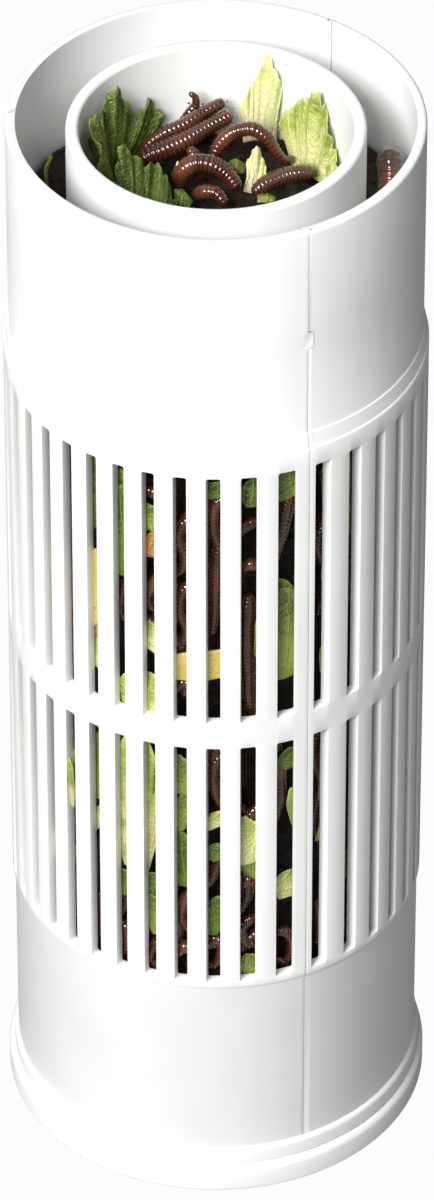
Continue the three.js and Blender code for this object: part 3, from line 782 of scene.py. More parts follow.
waist_crumb_count = 1500
top_crumb_count = 420
crumb_places = []
for _ in range(waist_crumb_count):
    turn = draw.uniform(0, math.tau)
    level = draw.uniform(waist_bottom + 0.001, waist_top - 0.001)
    start = (0.08 * math.cos(turn), 0.08 * math.sin(turn), level)
    found = landing(bedding_ring, start, (-math.cos(turn), -math.sin(turn), 0))
    crumb_places.append((found, draw.uniform(0.0005, 0.0016)))
for _ in range(top_crumb_count):
    turn = draw.uniform(0, math.tau)
    radius = draw.uniform(ring_inner + 0.001, collar_fill - 0.001)
    start = (radius * math.cos(turn), radius * math.sin(turn), ring_bedding + 0.01)
    found = landing(bedding_ring, start, (0, 0, -1))
    if found:
        crumb_places.append((found, draw.uniform(0.0004, 0.0011)))
ring_crumbs = scattered("ring_crumbs", crumb_places, 13)
settle(ring_crumbs, "root", "castings", castings)


# Composting worms: soft ringed bodies, dark wine red and wet, about 8 mm thick in the mouth, 7 mm behind
# the slots and 5 mm for the thin ones among them. Each has a rounded head and a long thin tail, and some
# have a paler smooth saddle. Behind the slots the thick ones lie within a millimetre of the castings and
# the thin ones run a little further out. In the mouth they keep the places of their solids, which is a few
# millimetres above the castings, because the relief of the castings is sunk below the solid's surface.
def worm_finish():
    """Wet skin: brown red with painted shade in the grooves, paler and more orange at the saddle and the
    ends.
    """
    wet = {"Coat Weight": 1, "Coat Roughness": 0.09, "Coat IOR": 1.6, "IOR": 1.3}
    made, shader, place = finish("wet_worm_skin", wet)
    groove_shade = place.marked("groove_shade")
    saddle = place.marked("saddle")
    tip = place.marked("tip")
    patch = place.noise(120, 3)
    skin = patch.between(0.35, 0.68).mix((0.050, 0.012, 0.005), (0.100, 0.028, 0.013))
    skin = (saddle * 0.7).mix(skin, (0.19, 0.060, 0.022))
    skin = (tip * 0.4).mix(skin, (0.12, 0.040, 0.024))
    # Painted shade: the grooves between the rings are darkened nearly to black.
    skin = (groove_shade * 0.75).mix(skin, (0.013, 0.003, 0.002))
    place.feed(shader.inputs["Base Color"], skin)
    place.feed(shader.inputs["Roughness"], patch * 0.14 + 0.16)
    place.feed(shader.inputs["Normal"], place.noise(900, 2).bump(0.00012, 0.5))
    return made


def smooth_line(points, step):
    """Points step apart along the centripetal curve through the given ones."""
    knots = [Vector(point) for point in points]
    knots = [2 * knots[0] - knots[1], *knots, 2 * knots[-1] - knots[-2]]
    line = []
    for before, start, end, after in zip(knots, knots[1:], knots[2:], knots[3:]):
        times = [0]
        for one, other in ((before, start), (start, end), (end, after)):
            times.append(times[-1] + max((other - one).length, 1e-6) ** 0.5)
        for part in range(60):
            at = times[1] + (times[2] - times[1]) * part / 60
            first = [
                knot.lerp(other, (at - begin) / (finish_at - begin))
                for knot, other, begin, finish_at in (
                    (before, start, times[0], times[1]),
                    (start, end, times[1], times[2]),
                    (end, after, times[2], times[3]),
                )
            ]
            second = [
                first[0].lerp(first[1], (at - times[0]) / (times[2] - times[0])),
                first[1].lerp(first[2], (at - times[1]) / (times[3] - times[1])),
            ]
            line.append(second[0].lerp(second[1], (at - times[1]) / (times[2] - times[1])))
    line.append(knots[-2])
    line = np.array(line)
    run = np.concatenate([[0], np.cumsum(np.linalg.norm(np.diff(line, axis=0), axis=1))])
    count = max(4, round(run[-1] / step))
    even = np.linspace(0, run[-1], count + 1)
    return np.stack([np.interp(even, run, line[:, axis]) for axis in range(3)], axis=1), even


def swept(name, line, radii, sides):
    """A round body along a line with a radius at each point, its curve's bevel turned into a mesh."""
    bpy.ops.object.select_all(action="DESELECT")
    bpy.ops.curve.primitive_bezier_curve_add()
    body = bpy.context.object
    body.name = body.data.name = name
    body.data.splines.clear()
    body.data.dimensions = "3D"
    body.data.twist_mode = "MINIMUM"
    body.data.bevel_depth = 1
    body.data.bevel_resolution = sides // 4 - 1
    body.data.use_fill_caps = True
    course = body.data.splines.new("POLY")
    course.points.add(len(line) - 1)
    for point, place, radius in zip(course.points, line, radii):
        point.co = (*place, 1)
        point.radius = radius
    bpy.ops.object.convert(target="MESH")
    return bpy.context.object


def mark(piece, label, values):
    """Gives each corner of a piece a number that its material reads."""
    made = piece.data.attributes.new(label, "FLOAT", "POINT")
    made.data.foreach_set("value", np.asarray(values, dtype=np.float32))


ring_pitch = 0.0017
samples_per_ring = 6
groove_depth = 0.12
plumpness = 1.06
worm_skin = worm_finish()


def worm(name, points, radius, seed, sides=16, narrowing=0.5):
    """One worm along its points, with ringed skin. Its length, saddle and thickness vary with the seed."""
    draw = np.random.default_rng(seed)
    line, run = smooth_line(points, ring_pitch / samples_per_ring)
    length = run[-1]
    head = np.clip(run / (2.2 * radius), 0, 1)
    tail = np.clip((length - run) / (0.42 * length), 0, 1)
    end = np.clip((length - run) / (0.8 * radius), 0, 1)
    body = (0.3 + 0.7 * np.sqrt(1 - (1 - head) ** 2)) * (1 - narrowing * (1 - tail**0.8))
    body *= 0.25 + 0.75 * np.sqrt(1 - (1 - end) ** 2)
    wave = np.abs(np.sin(np.pi * run / ring_pitch)) ** 0.6
    saddle_at = min(0.3 * length, 0.022)
    saddle = np.clip(1.3 - np.abs(run - saddle_at) / 0.0042, 0, 1) * (draw.uniform() < 0.6)
    swell = 1 + 0.05 * np.sin(run / draw.uniform(0.006, 0.011) + draw.uniform(0, 6)) + 0.05 * saddle
    depth = groove_depth * (1 - 0.6 * saddle)
    radii = radius * plumpness * body * swell * (1 - depth * (1 - wave))
    piece = swept(name, line, radii, sides)
    count = len(piece.data.vertices)
    station = np.clip(np.arange(count) * len(line) // count, 0, len(line) - 1)
    ends = np.clip(1 - np.minimum(run, length - run) / 0.006, 0, 1)
    # The first mark says where the grooves between the rings get painted shade.
    for label, values in (("groove_shade", (1 - wave) ** 1.5), ("saddle", saddle), ("tip", ends)):
        mark(piece, label, values[station])
    piece.data.shade_smooth()
    return piece


def around(radius, azimuth, level):
    """The point at a radius from the tube's axis, an azimuth and a level."""
    turn = math.radians(azimuth)
    return Vector((radius * math.sin(turn), -radius * math.cos(turn), level))


mouth_worm_radius = 0.0043


def in_mouth(across, back, lift):
    """A place in the mouth: shares of the bore to the right and to the back, worm radii of lift."""
    return (across * sleeve_bore, back * sleeve_bore, mouth_bedding + lift * mouth_worm_radius)


# Girth, and places in the mouth from head to tail
mouth_worms = {
    "worm_mouth_1": (
        0.8,
        [(-0.6, 0.44, 0.1), (-0.5, 0.46, 1.1), (-0.38, 0.49, 1.6), (-0.22, 0.56, 2), (-0.04, 0.68, 2.5),
         (0.12, 0.76, 3)],
    ),
    "worm_mouth_2": (
        0.42,
        [(-0.3, 0.8, -0.5), (-0.25, 0.82, 1.4), (-0.19, 0.84, 2.6), (-0.15, 0.85, 3.3), (-0.155, 0.855, 4),
         (-0.2, 0.86, 4.4)],
    ),
    "worm_mouth_3": (
        0.58,
        [(-0.04, 0.47, -0.1), (-0.02, 0.47, 0.9), (0.03, 0.49, 2.2), (0.13, 0.51, 3.2), (0.27, 0.5, 3.6),
         (0.38, 0.47, 2.8), (0.44, 0.45, 1.7), (0.51, 0.45, 0.8), (0.57, 0.5, 0.7)],
    ),
    "worm_mouth_4": (
        0.75,
        [(-0.285, 0.19, -0.1), (-0.256, 0.21, 1.5), (-0.155, 0.22, 2.4), (-0.04, 0.21, 2.4),
         (0.076, 0.19, 1.6), (0.162, 0.14, 0.5)],
    ),
    "worm_mouth_5": (
        0.7,
        [(0.27, 0.08, 0.5), (0.364, 0.16, 0.8), (0.508, 0.25, 0.9), (0.652, 0.29, 0.9), (0.71, 0.31, 0.6)],
    ),
    "worm_mouth_6": (
        0.6,
        [(-0.2, 0.414, 2.4), (-0.155, 0.37, 1.8), (-0.13, 0.35, 0.8), (-0.12, 0.34, -0.1)],
    ),
    "worm_mouth_7": (
        0.6,
        [(-0.16, 0.1, 0.2), (-0.08, 0.05, 0.9), (0, 0.02, 1), (0.07, -0.04, 0.3)],
    ),
    "worm_mouth_8": (
        0.9,
        [(0.66, -0.02, 0.5), (0.62, -0.26, 0.8), (0.46, -0.44, 0.7), (0.4, -0.64, 0.5)],
    ),
    "worm_mouth_9": (
        0.9,
        [(-0.52, -0.5, 0.5), (-0.36, -0.64, 0.8), (-0.12, -0.72, 0.8), (0.1, -0.68, 0.5)],
    ),
    "worm_mouth_10": (
        0.6,
        [(-0.56, 0.58, -0.2), (-0.48, 0.61, 1.3), (-0.38, 0.63, 2.1), (-0.22, 0.69, 2.6),
         (-0.08, 0.78, 3.1), (0.06, 0.85, 3.6)],
    ),
}
for order, (name, (girth, shares)) in enumerate(mouth_worms.items()):
    points = [in_mouth(*share) for share in shares]
    narrowing = 0.5 if girth < 0.6 else 0.25
    body = worm(name + "_body", points, mouth_worm_radius * girth, order, narrowing=narrowing)
    settle(body, "feed_sleeve", "worm_skin", worm_skin, name)

# Azimuth, and lift in worm radii
ring_worms = {
    "worm_ring_1": [(88, -0.2), (91, 1.9), (97, 3.5), (103, 2), (106, -0.2)],
    "worm_ring_2": [(172, 0.6), (180, 0.9), (190, 0.7), (199, 0.9), (208, 0.6)],
}
for order, (name, shares) in enumerate(ring_worms.items()):
    points = [
        around(ring_middle, azimuth, ring_bedding + lift * mouth_worm_radius) for azimuth, lift in shares
    ]
    body = worm(name + "_body", points, mouth_worm_radius, 20 + order)
    settle(body, "root", "worm_skin", worm_skin, name)

slot_worm_radius = 0.0034
slot_worm_lane = waist_radius + gap + slot_worm_radius
# Azimuth, and level as a share of the castings' waist
slot_worms = [
    [(27, 0.935), (22, 0.87), (18.5, 0.799), (16, 0.742)],
    [(10, 0.718), (9, 0.647), (9.5, 0.577), (10.5, 0.509), (15, 0.47)],
    [(13, 0.851), (7, 0.842), (1.5, 0.81), (0, 0.75), (-0.5, 0.685), (-1.5, 0.645)],
    [(-5, 0.87), (-10, 0.846), (-16, 0.799), (-14, 0.742), (-8.5, 0.718)],
    [(-24, 0.669), (-17, 0.645), (-11, 0.622), (-9, 0.574), (-10, 0.525)],
    [(18, 0.446), (19.5, 0.378), (19, 0.31), (15, 0.25)],
    [(3, 0.462), (-1, 0.414), (1, 0.357), (7, 0.318), (11.5, 0.287)],
    [(-6, 0.158), (-2, 0.197), (3, 0.226), (8, 0.205), (10, 0.158), (7, 0.109)],
    [(-15, 0.245), (-12.5, 0.197), (-14.5, 0.142), (-12, 0.085), (-13.5, 0.028)],
    [(-5, 0.045), (0, 0.061), (7, 0.045), (13, 0.066), (20, 0.049)],
    [(-40, 0.045), (-34, 0.069), (-28, 0.117), (-24, 0.074), (-21, 0.03)],
    [(-50, 0.397), (-44, 0.357), (-38, 0.318), (-40, 0.253), (-46, 0.197)],
    [(34, 0.919), (38, 0.846), (33, 0.783), (37, 0.718), (33, 0.647)],
    [(36, 0.457), (31, 0.397), (35, 0.333), (32, 0.261), (36, 0.197)],
    [(96, 0.891), (102, 0.826), (97, 0.753), (104, 0.689), (100, 0.616)],
    [(112, 0.341), (104, 0.292), (110, 0.227), (103, 0.163), (108, 0.082)],
    [(158, 0.729), (166, 0.762), (174, 0.713), (180, 0.632), (176, 0.551)],
    [(196, 0.276), (188, 0.244), (182, 0.179), (174, 0.163), (166, 0.098)],
    [(236, 0.875), (242, 0.81), (237, 0.745), (244, 0.681), (240, 0.6)],
    [(252, 0.325), (246, 0.26), (252, 0.195), (247, 0.13), (253, 0.066)],
]
for order, shares in enumerate(slot_worms):
    points = [
        around(slot_worm_lane, azimuth, waist_bottom + share * (waist_top - waist_bottom))
        for azimuth, share in shares
    ]
    body = worm(f"worm_slot_{order + 1}_body", points, slot_worm_radius, 40 + order)
    settle(body, "root", "worm_skin", worm_skin, f"worm_slot_{order + 1}")

thin_worm_radius = 0.0025
thin_worm_lane = 0.0691
fifths = 5
# Azimuth and level in the front fifth of the tube, which is repeated round it
thin_worms = [
    [(-6.6, 0.316), (-9.6, 0.314), (-11.4, 0.307), (-9.2, 0.300), (-10.1, 0.293), (-13.6, 0.289)],
    [(-7.5, 0.287), (-10.1, 0.282), (-11.0, 0.273), (-8.9, 0.266), (-10.2, 0.257)],
    [(3.6, 0.326), (0.2, 0.324), (-1.1, 0.316), (0.6, 0.306), (3.6, 0.302)],
    [(-22.5, 0.326), (-19.3, 0.326), (-15.7, 0.324)],
    [(-15.4, 0.288), (-18.5, 0.285), (-20.7, 0.276), (-18.6, 0.271)],
    [(-27.4, 0.283), (-29.2, 0.277), (-30.0, 0.267), (-27.5, 0.263)],
    [(-6.7, 0.239), (-10.2, 0.240), (-13.8, 0.234), (-11.6, 0.229)],
    [(7.1, 0.293), (10.5, 0.295), (13.6, 0.292)],
    [(2.8, 0.206), (0.2, 0.204), (-0.8, 0.194), (1.1, 0.184), (3.7, 0.181)],
    [(7.2, 0.171), (9.4, 0.175), (11.6, 0.179), (14.3, 0.182)],
    [(-3.3, 0.143), (-1.1, 0.149), (1.1, 0.156), (3.7, 0.161)],
    [(7.3, 0.143), (10.1, 0.146), (12.6, 0.142)],
    [(-6.9, 0.141), (-9.7, 0.136), (-10.6, 0.127), (-8.2, 0.121)],
    [(-15.9, 0.116), (-19.2, 0.112), (-20.7, 0.104), (-17.4, 0.100)],
    [(-12.3, 0.108), (-10.0, 0.113), (-6.9, 0.111), (-8.7, 0.102)],
    [(12.7, 0.127), (9.8, 0.126), (7.3, 0.122), (10.0, 0.114), (13.1, 0.115)],
    [(18.2, 0.118), (22.0, 0.117), (24.4, 0.110), (22.0, 0.102), (18.7, 0.105)],
    [(-32.0, 0.119), (-29.2, 0.116), (-28.5, 0.108), (-30.6, 0.100)],
    [(-39.1, 0.128), (-38.0, 0.117), (-39.3, 0.105)],
    [(-3.3, 0.115), (0.2, 0.118), (2.0, 0.111), (-0.7, 0.105), (-3.3, 0.105)],
]


def joined(name, pieces):
    """Several pieces as one."""
    if len(pieces) == 1:
        pieces[0].name = pieces[0].data.name = name
        return pieces[0]
    pick(*pieces)
    bpy.ops.object.join()
    pieces[0].name = pieces[0].data.name = name
    return pieces[0]


for side in range(fifths):
    bodies = []
    for order, places in enumerate(thin_worms):
        points = [around(thin_worm_lane, azimuth + side * 360 / fifths, level) for azimuth, level in places]
        bodies.append(worm("thin_worm", points, thin_worm_radius, 200 + order + 30 * side, sides=12))
    settle(joined(f"thin_worms_{side + 1}", bodies), "root", "worm_skin", worm_skin)


# Leaves: kitchen scraps for the worms, half a millimetre thick with raised veins and torn, ruffled edges.
# Dark ones, yellow-green lettuce and pale endive stand upright in the mouth, their feet up to 3 mm above
# the sunk castings. Others, and many small scraps, are close behind the slots, inside the panels, and one
# strip is caught in a slot.
def leaf_finish(name, foot, blade, vein, blotch, blister=0.5):
    """A leaf's colours from foot to tip, with fanned main veins, side veins between them and blotches."""
    made, shader, place = finish(name, {"Specular IOR Level": 0.45, "Subsurface Weight": 0.08})
    shader.inputs["Subsurface Radius"].default_value = (0.002, 0.003, 0.001)
    fan = place.marked("fan")
    rise = place.marked("rise")
    share = place.marked("share")
    cloud = place.noise(90, 3)
    small = place.noise(420, 3)
    off_main = (fan * 120 + cloud * 0.9).swing()
    off_side = (rise * 330 + off_main * 1.7 + small * 0.5).swing()
    main_vein = (1 - off_main.between(0.02, 0.1)) * (1.25 - share)
    side_vein = (1 - off_side.between(0.03, 0.13)) * 0.45
    blisters = {"Vector": place, "Scale": 620}
    cells = place.node("TexVoronoi", {"feature": "DISTANCE_TO_EDGE"}, blisters, output="Distance")
    colour = (share + cloud * 0.5 - 0.25).between(0.25, 0.85).mix(foot, blade)
    colour = cloud.between(0.52, 0.72).mix(colour, blotch)
    colour = (small.between(0.35, 0.75) * 0.35).mix(colour, vein)
    colour = main_vein.larger(side_vein).mix(colour, vein)
    colour = (share.between(0.9, 1) * 0.5).mix(colour, vein)
    place.feed(shader.inputs["Base Color"], colour)
    place.feed(shader.inputs["Roughness"], 0.3 + cloud * 0.22)
    height = main_vein + side_vein * 0.7 + cells.between(0, 0.35) * blister + small * 0.3
    place.feed(shader.inputs["Normal"], height.bump(0.0006, 0.8))
    return made


def spline(points, shares):
    """The smooth curve through the points, at these shares of it."""
    points = np.array(points, dtype=float)
    padded = np.vstack([2 * points[0] - points[1], points, 2 * points[-1] - points[-2]])
    at = np.clip(shares, 0, 1) * (len(points) - 1)
    start = np.minimum(at.astype(int), len(points) - 2)
    part = (at - start)[:, None]
    before, first, second, after = (padded[start + step] for step in range(4))
    return 0.5 * (
        2 * first
        + (second - before) * part
        + (2 * before - 5 * first + 4 * second - after) * part**2
        + (3 * first - before - 3 * second + after) * part**3
    )


def leaf(
    name, foot, edge, seed, lanes,
    frill=0.0016, teeth=0.0008, lobes=0, bow=0.001, thick=0.0005, columns=44, rows=14,
):
    """A leaf between the line of its foot and the line of its outer edge, kept between two lanes' radii.

    A flat grid is laid over both lines, its edge cut into teeth and ruffled, and then given thickness.
    """
    draw = np.random.default_rng(seed)
    across, upward = np.linspace(0, 1, columns + 1), np.linspace(0, 1, rows + 1)
    low, high = spline(foot, across), spline(edge, across)
    run = np.concatenate([[0], np.cumsum(np.linalg.norm(np.diff(high, axis=0), axis=1))])
    reach = (high - low)[:, None]
    sheet = low[:, None] + reach * upward[None, :, None]
    height = np.linalg.norm(reach, axis=2)
    tooth_run = run / draw.uniform(0.0021, 0.0028)
    tooth = np.abs(tooth_run % 1 - 0.35) * draw.uniform(0.5, 1.5, columns + 1)
    lobe_run = run / draw.uniform(0.0075, 0.0095) + draw.uniform()
    notch = np.clip((np.abs(lobe_run % 1 - 0.5) * 2 - 0.62) / 0.38, 0, 1)
    cut = teeth * tooth + lobes * notch
    sheet -= reach / height[..., None] * (cut[:, None] * upward**4)[..., None]
    normal = np.cross(np.gradient(sheet, axis=0), np.gradient(sheet, axis=1))
    normal /= np.linalg.norm(normal, axis=2)[..., None] + 1e-12
    start = draw.uniform(0, math.tau, 3)
    ruffle = np.sin(run / 0.0021 + start[0]) + 0.6 * np.sin(run / 0.0009 + start[1])
    ruffle *= np.interp(across, np.linspace(0, 1, 7), draw.uniform(0.2, 1.4, 7))
    folds = 0.5 * np.sin(run / 0.0031 + start[2])
    lift = frill * (ruffle[:, None] * upward**2.2 + folds[:, None] * upward)
    lift += bow * np.sin(math.pi * upward) * np.sin(math.pi * across)[:, None]
    sheet += normal * lift[..., None]
    radius = np.linalg.norm(sheet[..., :2], axis=2)
    sheet[..., :2] *= (np.clip(radius, *lanes) / radius)[..., None]

    bpy.ops.object.select_all(action="DESELECT")
    bpy.ops.mesh.primitive_grid_add(x_subdivisions=columns, y_subdivisions=rows, size=2)
    piece = bpy.context.object
    piece.name = piece.data.name = name
    flat = np.array([vertex.co for vertex in piece.data.vertices])
    column = np.rint((flat[:, 0] + 1) / 2 * columns).astype(int)
    row = np.rint((flat[:, 1] + 1) / 2 * rows).astype(int)
    piece.data.vertices.foreach_set("co", sheet[column, row].ravel())
    mark(piece, "fan", run[column])
    mark(piece, "rise", (height * upward)[column, row])
    mark(piece, "share", upward[row])
    piece.data.update()
    apply_modifier(piece, "SOLIDIFY", thickness=thick, offset=0)
    apply_modifier(piece, "SUBSURF", levels=1, render_levels=1)
    smooth(piece, 70)
    return piece


dark_leaf = leaf_finish(
    "leaf_dark", (0.11, 0.16, 0.014), (0.036, 0.066, 0.004), (0.24, 0.33, 0.06), (0.012, 0.026, 0.002), 0.6
)
light_leaf = leaf_finish(
    "leaf_light", (0.64, 0.62, 0.28), (0.28, 0.34, 0.024), (0.66, 0.69, 0.26), (0.12, 0.18, 0.010), 0.4
)
pale_leaf = leaf_finish(
    "leaf_pale", (0.80, 0.74, 0.42), (0.68, 0.70, 0.22), (0.88, 0.86, 0.62), (0.50, 0.56, 0.10), 0.2
)
dry_leaf = leaf_finish(
    "leaf_dry", (0.50, 0.19, 0.035), (0.42, 0.13, 0.020), (0.58, 0.30, 0.08), (0.16, 0.06, 0.015)
)
green_leaf = leaf_finish(
    "leaf_green", (0.22, 0.26, 0.035), (0.080, 0.115, 0.008), (0.34, 0.38, 0.08), (0.030, 0.046, 0.004)
)


mouth_lanes = (0.008, sleeve_bore - 0.0006)
whole_edge = {"frill": 0.0009, "teeth": 0.0012, "lobes": 0.001}
torn_edge = {"frill": 0.0019, "teeth": 0.002, "lobes": 0.003}
# Finish, the line of the foot and the line of the outer edge, from left to right
mouth_leaves = {
    "leaf_mouth_1": (
        dark_leaf,
        [(-0.82, 0.29, -0.5), (-0.71, 0.49, -0.5), (-0.53, 0.75, -0.5)],
        [(-0.90, 0.29, 4.2), (-0.86, 0.43, 5.8), (-0.73, 0.57, 7.7), (-0.66, 0.66, 5.2), (-0.60, 0.73, 3.6),
         (-0.50, 0.82, 4.4), (-0.40, 0.85, 2.6), (-0.37, 0.83, 0.6)],
    ),
    "leaf_mouth_2": (
        green_leaf,
        [(-0.63, -0.04, -0.6), (-0.71, 0.08, -0.6), (-0.77, 0.2, -0.6)],
        [(-0.82, -0.06, 3.2), (-0.89, 0.1, 5.6), (-0.90, 0.28, 7), (-0.84, 0.36, 5.6)],
    ),
    "leaf_mouth_3": (
        dark_leaf,
        [(-0.68, -0.24, -0.6), (-0.5, -0.27, -0.6), (-0.33, -0.2, -0.4)],
        [(-0.74, 0.03, 3.6), (-0.69, 0.08, 5.7), (-0.59, 0.12, 4.1), (-0.5, 0.16, 3.2), (-0.41, 0.16, 3.1),
         (-0.34, 0.04, 2), (-0.29, -0.12, 0.8)],
    ),
    "lettuce_leaf": (
        light_leaf,
        [(0.57, 0.46, -0.6), (0.68, 0.42, -0.6), (0.78, 0.32, -0.6)],
        [(0.45, 0.74, 3.2), (0.55, 0.73, 4.3), (0.73, 0.62, 6.7), (0.79, 0.57, 6.1),
         (0.84, 0.48, 3.8), (0.89, 0.36, 1.5)],
    ),
    "endive_leaf": (
        pale_leaf,
        [(0.2, 0.84, -0.6), (0.32, 0.87, -0.6), (0.44, 0.82, -0.6)],
        [(0.17, 0.88, 2.8), (0.23, 0.9, 4.4), (0.28, 0.91, 5.6), (0.33, 0.91, 6.8), (0.37, 0.91, 8.1),
         (0.42, 0.88, 7.4), (0.46, 0.86, 6.4), (0.48, 0.85, 5), (0.46, 0.84, 3)],
    ),
    "endive_shard": (
        pale_leaf,
        [(0.2, 0.22, -0.5), (0.27, 0.22, -0.7), (0.36, 0.24, -0.5)],
        [(0.21, 0.22, 0.9), (0.26, 0.27, 3.1), (0.3, 0.29, 3.8), (0.36, 0.28, 1.9), (0.37, 0.25, 0.5)],
    ),
}
mouth_scraps = [
    (
        pale_leaf,
        [(-0.315, 0.2, -0.3), (-0.25, 0.2, -0.3)],
        [(-0.31, 0.22, 1.2), (-0.28, 0.22, 2.7), (-0.25, 0.21, 0.8)],
    ),
    (
        dark_leaf,
        [(-0.3, 0.0, 0.1), (-0.2, -0.06, 0.1)],
        [(-0.31, 0.08, 0.9), (-0.24, 0.06, 1.1), (-0.16, 0.0, 0.4)],
    ),
    (
        green_leaf,
        [(0.08, 0.34, 0.2), (0.2, 0.36, 0.2)],
        [(0.06, 0.38, 1), (0.14, 0.42, 1.3), (0.22, 0.42, 0.6)],
    ),
    (
        light_leaf,
        [(0.82, 0.2, -0.2), (0.86, 0.1, -0.2)],
        [(0.8, 0.28, 1.6), (0.87, 0.27, 2.2), (0.9, 0.2, 1.3)],
    ),
    (
        green_leaf,
        [(0.3, 0.02, 0), (0.42, 0.02, 0)],
        [(0.3, 0.08, 0.4), (0.38, 0.09, 0.5), (0.44, 0.06, 0.3)],
    ),
]
leaf_slots = {
    "leaf_dark": "dark_leaf",
    "leaf_green": "dark_leaf",
    "leaf_light": "light_leaf",
    "leaf_pale": "pale_leaf",
    "leaf_dry": "dark_leaf",
}
for order, (name, (material, foot, edge)) in enumerate(mouth_leaves.items()):
    lines = [[in_mouth(*place) for place in line] for line in (foot, edge)]
    cuts = whole_edge if material is pale_leaf else torn_edge
    blade = leaf(name + "_blade", *lines, 60 + order, mouth_lanes, columns=60, rows=16, **cuts)
    settle(blade, "feed_sleeve", leaf_slots[material.name], material, name)
for order, (material, foot, edge) in enumerate(mouth_scraps):
    lines = [[in_mouth(*place) for place in line] for line in (foot, edge)]
    blade = leaf(
        f"mouth_scrap_{order + 1}", *lines, 130 + order, mouth_lanes,
        frill=0.0005, teeth=0.0006, columns=16, rows=8,
    )
    settle(blade, "feed_sleeve", leaf_slots[material.name], material)

# The lines of the foot and of the outer edge, as shares of the width and of the height
leaf_outlines = {
    "frilly": (
        [(-0.25, 0), (0, -0.02), (0.25, 0)],
        [(-0.5, 0.3), (-0.48, 0.7), (-0.2, 0.95), (0.1, 1), (0.42, 0.8), (0.5, 0.35)],
    ),
    "lettuce": (
        [(-0.3, 0), (0, 0), (0.3, 0)],
        [(-0.5, 0.5), (-0.4, 0.85), (0, 1), (0.4, 0.9), (0.5, 0.45)],
    ),
    "scrap": (
        [(-0.5, 0.1), (-0.1, 0), (0.45, 0.08)],
        [(-0.42, 0.75), (-0.1, 1), (0.2, 0.9), (0.5, 0.82)],
    ),
}
wall_lanes = (housing_bore - 0.0022, housing_bore - 0.0006)


def wall_leaf(name, kind, azimuth, middle, width, height, seed, lanes=wall_lanes, tilt=0, **settings):
    """A leaf pressed flat against the inside of the housing, its middle at that azimuth and level."""
    lines = []
    turn = Matrix.Rotation(math.radians(tilt), 2)
    for line in leaf_outlines[kind]:
        flat = [turn @ Vector((across * width, (up - 0.5) * height)) for across, up in line]
        lines.append([around(lanes[1], azimuth + math.degrees(x / lanes[1]), middle + y) for x, y in flat])
    return leaf(name, *lines, seed, lanes, **settings)


ring_leaf_lanes = (sleeve_radius + 0.002, 0.0612)
ring_leaf = wall_leaf(
    "leaf_ring_1_blade", "scrap", -95.8, 0.410, 0.009, 0.024, 70, ring_leaf_lanes, columns=16
)
settle(ring_leaf, "root", "dark_leaf", green_leaf, "leaf_ring_1")
slot_leaves = {
    "leaf_slot_1": ("frilly", 0.020, green_leaf),
    "leaf_slot_2": ("scrap", 0.022, dark_leaf),
    "leaf_slot_3": ("lettuce", 0.020, light_leaf),
    "leaf_slot_4": ("frilly", 0.013, dark_leaf),
    "leaf_slot_5": ("frilly", 0.020, light_leaf),
    "leaf_slot_6": ("scrap", 0.013, light_leaf),
    "leaf_slot_7": ("scrap", 0.013, light_leaf),
    "leaf_slot_8": ("frilly", 0.020, dark_leaf),
    "leaf_slot_9": ("lettuce", 0.020, light_leaf),
}


def wall_place(node):
    """Where a node against the housing sits: its azimuth, middle level and height."""
    low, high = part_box(node)
    middle = (low + high) / 2
    return math.degrees(math.atan2(middle.x, -middle.y)), middle.z, high.z - low.z


for order, (name, (kind, width, material)) in enumerate(slot_leaves.items()):
    azimuth, middle, height = wall_place(name)
    blade = wall_leaf(name + "_blade", kind, azimuth, middle, width, height, 80 + order)
    settle(blade, "root", leaf_slots[material.name], material, name)

scrap_lanes = (0.0688, 0.0719)
# Outline, azimuth, middle level, width, height and tilt in the front fifth, which is repeated as well
wall_scraps = {
    dark_leaf: [
        ("frilly", -36.6, 0.3194, 0.009, 0.0331, 5),
        ("frilly", -28.2, 0.3159, 0.008, 0.0383, 0),
        ("frilly", 0.2, 0.3318, 0.012, 0.0079, 10),
        ("frilly", -19.2, 0.1976, 0.009, 0.0207, 12),
        ("frilly", -18.8, 0.1441, 0.009, 0.0113, -12),
        ("frilly", -9.8, 0.1582, 0.01, 0.0266, 5),
        ("frilly", -0.1, 0.1621, 0.009, 0.0084, 20),
        ("frilly", -0.1, 0.1317, 0.009, 0.0198, -10),
        ("frilly", 21.8, 0.203, 0.01, 0.0097, 15),
        ("frilly", -28.8, 0.1405, 0.009, 0.0127, 0),
    ],
    pale_leaf: [
        ("scrap", -37.3, 0.2799, 0.007, 0.0188, 8),
    ],
    dry_leaf: [
        ("scrap", -37.8, 0.2608, 0.005, 0.0203, 0),
        ("scrap", -18.6, 0.3045, 0.006, 0.0139, -12),
    ],
    light_leaf: [
        ("lettuce", -37.1, 0.2457, 0.009, 0.015, -10),
        ("scrap", -19.4, 0.2615, 0.012, 0.0135, 60),
        ("frilly", -48.0, 0.1772, 0.006, 0.0239, 10),
        ("lettuce", -37.5, 0.1661, 0.006, 0.0169, -25),
        ("lettuce", -0.1, 0.1776, 0.007, 0.0125, -50),
        ("lettuce", 21.7, 0.1425, 0.014, 0.0127, -62),
    ],
    green_leaf: [
        ("scrap", -19.2, 0.3166, 0.009, 0.0132, 20),
        ("frilly", 10.4, 0.3293, 0.009, 0.0125, 0),
        ("frilly", 20.6, 0.2756, 0.01, 0.0255, 12),
        ("scrap", -37.4, 0.1914, 0.008, 0.0327, 0),
        ("frilly", -18.7, 0.129, 0.009, 0.0199, 10),
        ("scrap", -9.9, 0.1984, 0.01, 0.0193, 8),
        ("lettuce", -9.6, 0.1811, 0.009, 0.0201, -18),
        ("lettuce", 10.3, 0.1528, 0.006, 0.0112, 38),
        ("scrap", 10.2, 0.1067, 0.011, 0.0114, 0),
    ],
}
